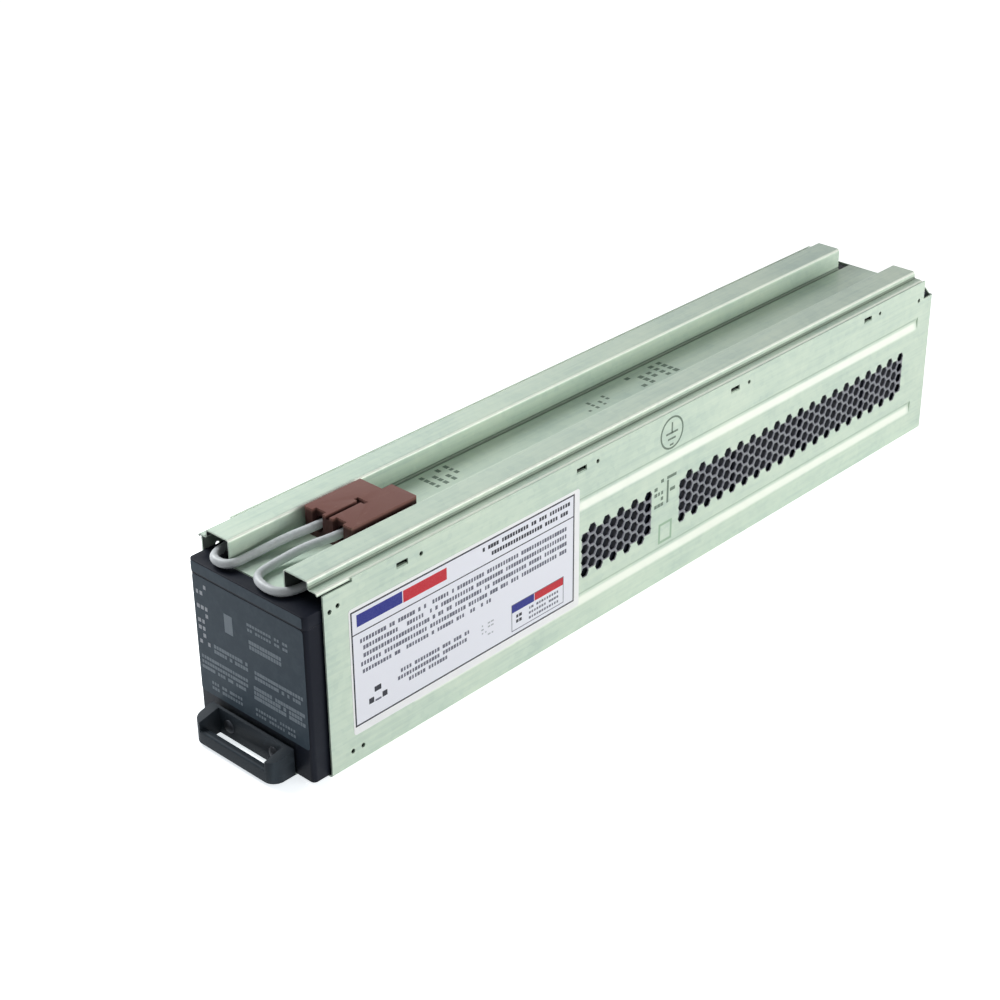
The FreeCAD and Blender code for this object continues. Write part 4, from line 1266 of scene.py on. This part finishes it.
# The slate label on the first battery.
FRONT_LABEL = Sheet("front_label", Finish.FRONT_LABEL, FRONT_FACE, (
    Rows(PALE, (-36.6, 70.4), 9, 3, 4.4, 3.2, 2.4, 0.5, 0.8, 0.35),
    Rows(SLATE, (15.0, 78.0), 2, 15, 3.2, 2.1, 1.7, 0.6, 0.95, 0.2),
    Rows(SLATE, (12.5, 67.6), 2, 12, 3.1, 2.1, 2.4, 0.75, 1.0, 0.05),
    Rows(SLATE, (-16.0, 52.2), 2, 13, 3.2, 2.1, 2.2, 0.7, 1.0, 0.1),
    Rows(SLATE, (21.5, 50.0), 2, 18, 3.2, 2.1, 2.1, 0.7, 1.0, 0.1),
    Rows(SLATE, (-22.0, 40.2), 3, 18, 3.3, 2.1, 2.0, 0.65, 1.0, 0.1),
    Rows(SLATE, (21.0, 38.6), 3, 19, 3.0, 2.1, 2.3, 0.75, 1.0, 0.05),
    Rows(SLATE, (-21.5, 27.6), 2, 12, 3.2, 2.1, 1.9, 0.6, 0.95, 0.15),
    Rows(SLATE, (17.0, 26.6), 2, 15, 3.2, 2.1, 1.7, 0.5, 0.95, 0.2),
), (Patch(SLATE, (-19.0, 67.0), (-12.5, 78.5)),), "battery_front_label")

# The large pale label on the right wall.
SIDE_LABEL = Sheet("side_label", Finish.LABEL, SIDE_FACE, (
    Rows(BLACK, (-112.6, 88.2), 1, 33, 4.4, 2.15, 2.4, 0.6, 0.92, 0.12),
    Rows(BLACK, (-110.0, 83.4), 1, 29, 4.4, 2.15, 2.4, 0.6, 0.92, 0.12),
    Rows(GREY, (-159.5, 66.3), 4, 76, 4.7, 2.1, 2.5, 0.55, 0.9, 0.15),
    Rows(GREY, (-190.0, 54.6), 1, 46, 4.4, 2.1, 2.3, 0.55, 0.9, 0.15),
    Rows(GREY, (-185.2, 42.2), 1, 25, 4.4, 2.1, 2.3, 0.55, 0.9, 0.12),
    Rows(GREY, (-187.4, 38.2), 1, 25, 4.4, 2.1, 2.3, 0.55, 0.9, 0.12),
    Rows(GREY, (-191.0, 34.2), 1, 14, 4.4, 2.1, 2.3, 0.55, 0.9, 0.12),
    Rows(PALE, (-145.0, 37.2), 4, 4, 2.4, 2.6, 1.0, 0.3, 0.9, 0.3),
    Rows(GREY, (-99.0, 32.2), 3, 12, 3.2, 2.1, 1.5, 0.5, 0.9, 0.15),
    Rows(BLACK, (-119.6, 33.0), 2, 2, 3.2, 2.6, 2.0, 0.6, 0.95, 0.0),
), (
    Patch(LAVENDER, (-243.8, 23.9), (-74.3, 91.9)),
    *Patch(BLACK, (-244.8, 22.9), (-73.3, 92.9)).outline(1.0),
    Patch(BLACK, (-243.8, 78.3), (-74.3, 79.0)),
    Patch(BLUE, (-240.7, 82.6), (-208.2, 89.8)),
    Patch(RED, (-207.6, 82.4), (-175.4, 89.6)),
    *Patch(GREY, (-125.6, 26.0), (-82.2, 43.4)).outline(0.5),
    Patch(BLUE, (-125.1, 38.0), (-107.0, 42.9)),
    Patch(RED, (-106.6, 38.0), (-82.7, 42.9)),
    Patch(BLACK, (-230.4, 38.2), (-225.6, 41.4)),
    Patch(BLACK, (-234.6, 32.4), (-231.0, 35.8)),
    Patch(BLACK, (-225.0, 32.4), (-221.4, 35.8)),
    Patch(GREY, (-230.2, 32.2), (-225.8, 33.4)),
), "side_label")

# Stamped marks between the two vent fields of the right wall.
WALL_STAMPS = Sheet("wall_stamps", Finish.STEEL, SIDE_FACE, (
    Rows(STAMP, (2.4, 62.2), 5, 3, 3.9, 2.9, 2.3, 0.5, 1.0, 0.25),
), (
    Patch(STAMP, (9.6, 69.2), (18.4, 71.2)),
    Patch(STAMP, (9.6, 53.4), (11.4, 68.6)),
    Patch(STAMP, (12.6, 60.2), (17.4, 62.4)),
    *Patch(MOSS, (3.0, 27.6), (15.4, 41.0)).outline(1.6),
))

# Faint marks on the channel's floor.
CHANNEL_STAMPS = Sheet("channel_stamps", Finish.STEEL, TOP_FACE, (
    Rows(STAMP, (-8.6, -122.0), 4, 4, 6.4, 4.2, 2.8, 0.45, 0.9, 0.2),
    Rows(STAMP, (-5.4, 6.0), 4, 3, 6.6, 3.6, 2.2, 0.4, 0.9, 0.3),
    Rows(STAMP, (-7.4, 60.0), 5, 4, 7.6, 4.6, 3.8, 0.5, 0.95, 0.2),
))


@dataclass
class Printing(Assembly):
    """The labels' thin films, and generic print on them and on the steel."""

    film: float = 0.14 * MM
    corner: float = 2.0 * MM
    ink: float = 0.05 * MM
    panel_ink: float = 0.02 * MM
    channel_floor: float = 103.0 * MM
    seed_step: int = 11
    recipe: PrintRows = field(default_factory=PrintRows)

    def build(self) -> None:
        """Lay the films and print on them, on the wall and on the channel."""
        for label in (FRONT_LABEL, SIDE_LABEL):
            self.print_on(label, self.lay_film(label))
        self.print_on(WALL_STAMPS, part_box("tray")[1].x)
        self.print_on(CHANNEL_STAMPS, self.channel_floor)

    def lay_film(self, label: Sheet) -> float:
        """Make a film with rounded corners where its node lies.

        Args:
            label: The label's layout.

        Returns:
            Height of the film's front along its outward axis.
        """
        ends = [label.face.inverted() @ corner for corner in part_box(label.node)]
        low, high = ([choose(values) for values in zip(*ends)] for choose in (min, max))
        surface = low[2] + self.film
        film = rounded_plate(low, (high[0], high[1], surface), self.corner, label.face)
        self.add(f"{label.name}_film", film, label.slot, replaced=[label.node])
        return surface

    def print_on(self, sheet: Sheet, surface: float) -> None:
        """Print the rectangles, one piece for each ink, and then the rows.

        Args:
            sheet: The layout.
            surface: Height of the surface along its outward axis.
        """
        for ink in Print:
            chosen = [patch for patch in sheet.patches if patch.ink is ink]
            if chosen:
                work = bmesh.new()
                half = (self.panel_ink if ink is LAVENDER else self.ink) / 2
                for patch in chosen:
                    slab(work, (*mm(*patch.low), surface - half), (*mm(*patch.high), surface + half))
                mesh = mesh_from(work, sheet.face)
                self.add(f"{sheet.name}_{ink.name.lower()}", mesh, sheet.slot, self.palette.inks[ink])
        for number, block in enumerate(sheet.rows, start=1):
            ink = self.palette.inks[block.ink]
            mesh = self.recipe.make(sheet.face @ Matrix.Translation((*mm(*block.middle), surface)), {
                "Rows": block.rows, "Bars": block.bars, "Row step": block.row_step * MM,
                "Bar step": block.bar_step * MM, "Bar height": block.height * MM, "Ink": self.ink,
                "Shortest": block.shortest, "Longest": block.longest, "Left out": block.left_out,
                "Seed": self.seed_step * number, "Finish": ink,
            })
            self.add(f"{sheet.name}_rows_{number}", mesh, sheet.slot, ink)


@dataclass
class BatteryRow(Assembly):
    """Eight batteries: the first with soft edges and a slate band on its lid, the rest as modelled."""

    edge: float = 0.5 * MM
    count: int = 8
    band_half: float = 43.0 * MM
    band_low: float = 95.0 * MM
    band_high: float = 101.2 * MM
    band_film: float = 0.12 * MM
    band_corner: float = 1.0 * MM

    def build(self) -> None:
        """Soften the first battery and dress the others, their terminals and the pad."""
        numbers = range(1, self.count + 1)
        for part in ("container", "lid"):
            node = f"battery_1_{part}"
            self.add(f"first_{part}", softened(node, self.edge), Finish.BATTERY, replaced=[node])
            self.dress(Finish.BATTERY, *(f"battery_{number}_{part}" for number in numbers[1:]))
        self.add_band()
        self.dress(Finish.TERMINAL, *(f"battery_{number}_terminals" for number in numbers))
        self.dress(Finish.FOAM, "rear_pad")

    def add_band(self) -> None:
        """Carry the slate of the front label on over the first lid."""
        front = -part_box("battery_1_lid")[0].y
        low = (-self.band_half, self.band_low, front)
        high = (self.band_half, self.band_high, front + self.band_film)
        band = rounded_plate(low, high, self.band_corner, FRONT_FACE)
        self.add("first_lid_band", band, Finish.FRONT_LABEL)


@dataclass
class PullHandle(Assembly):
    """Black handle with soft edges and two domed rivets."""

    edge: float = 0.9 * MM
    spread: float = 18.0 * MM
    level: float = 9.5 * MM
    head_radius: float = 4.0 * MM
    shank_radius: float = 2.0 * MM
    tail_radius: float = 3.0 * MM
    tail_height: float = 0.4 * MM
    head_height: float = 1.3 * MM
    dome: int = 6
    turns: int = 28
    crisp: float = math.radians(50)

    def build(self) -> None:
        """Make the handle and its rivets."""
        self.add("handle_grip", softened("handle", self.edge), Finish.HANDLE, replaced=["handle"])
        low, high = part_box("handle_rivets")
        work = bmesh.new()
        for side in (-self.spread, self.spread):
            place = Matrix.Translation((side, low.y, self.level)) @ FRONT_FACE
            turn(work, self.rivet(high.y - low.y), self.turns, place)
        mesh = mesh_from(work)
        mesh.shade_smooth()
        mesh.set_sharp_from_angle(angle=self.crisp)
        self.add("handle_fixings", mesh, Finish.RIVET, replaced=["handle_rivets"])

    def rivet(self, length: float) -> list[Pair]:
        """Draw one rivet's outline: domed head, shank and flat tail.

        Args:
            length: Length from the head's tip to the tail's end.

        Returns:
            Radius and height of each point, from the tip down.
        """
        angles = [math.pi / 2 * step / self.dome for step in range(self.dome + 1)]
        points = [
            (self.head_radius * math.sin(angle), self.head_height * (1 - math.cos(angle)))
            for angle in angles
        ]
        points += [
            (self.shank_radius, self.head_height), (self.shank_radius, length - self.tail_height),
            (self.tail_radius, length - self.tail_height), (self.tail_radius, length),
        ]
        return [(radius, -depth) for radius, depth in points]


def main() -> None:
    """Build the object's looks in order."""
    logging.basicConfig(level=logging.INFO, format="%(message)s")
    Studio().build()
    palette = Palette()
    for assembly in (Wiring, SheetMetal, BatteryRow, Printing, PullHandle):
        assembly(palette).build()


if __name__ == "__main__":
    main()
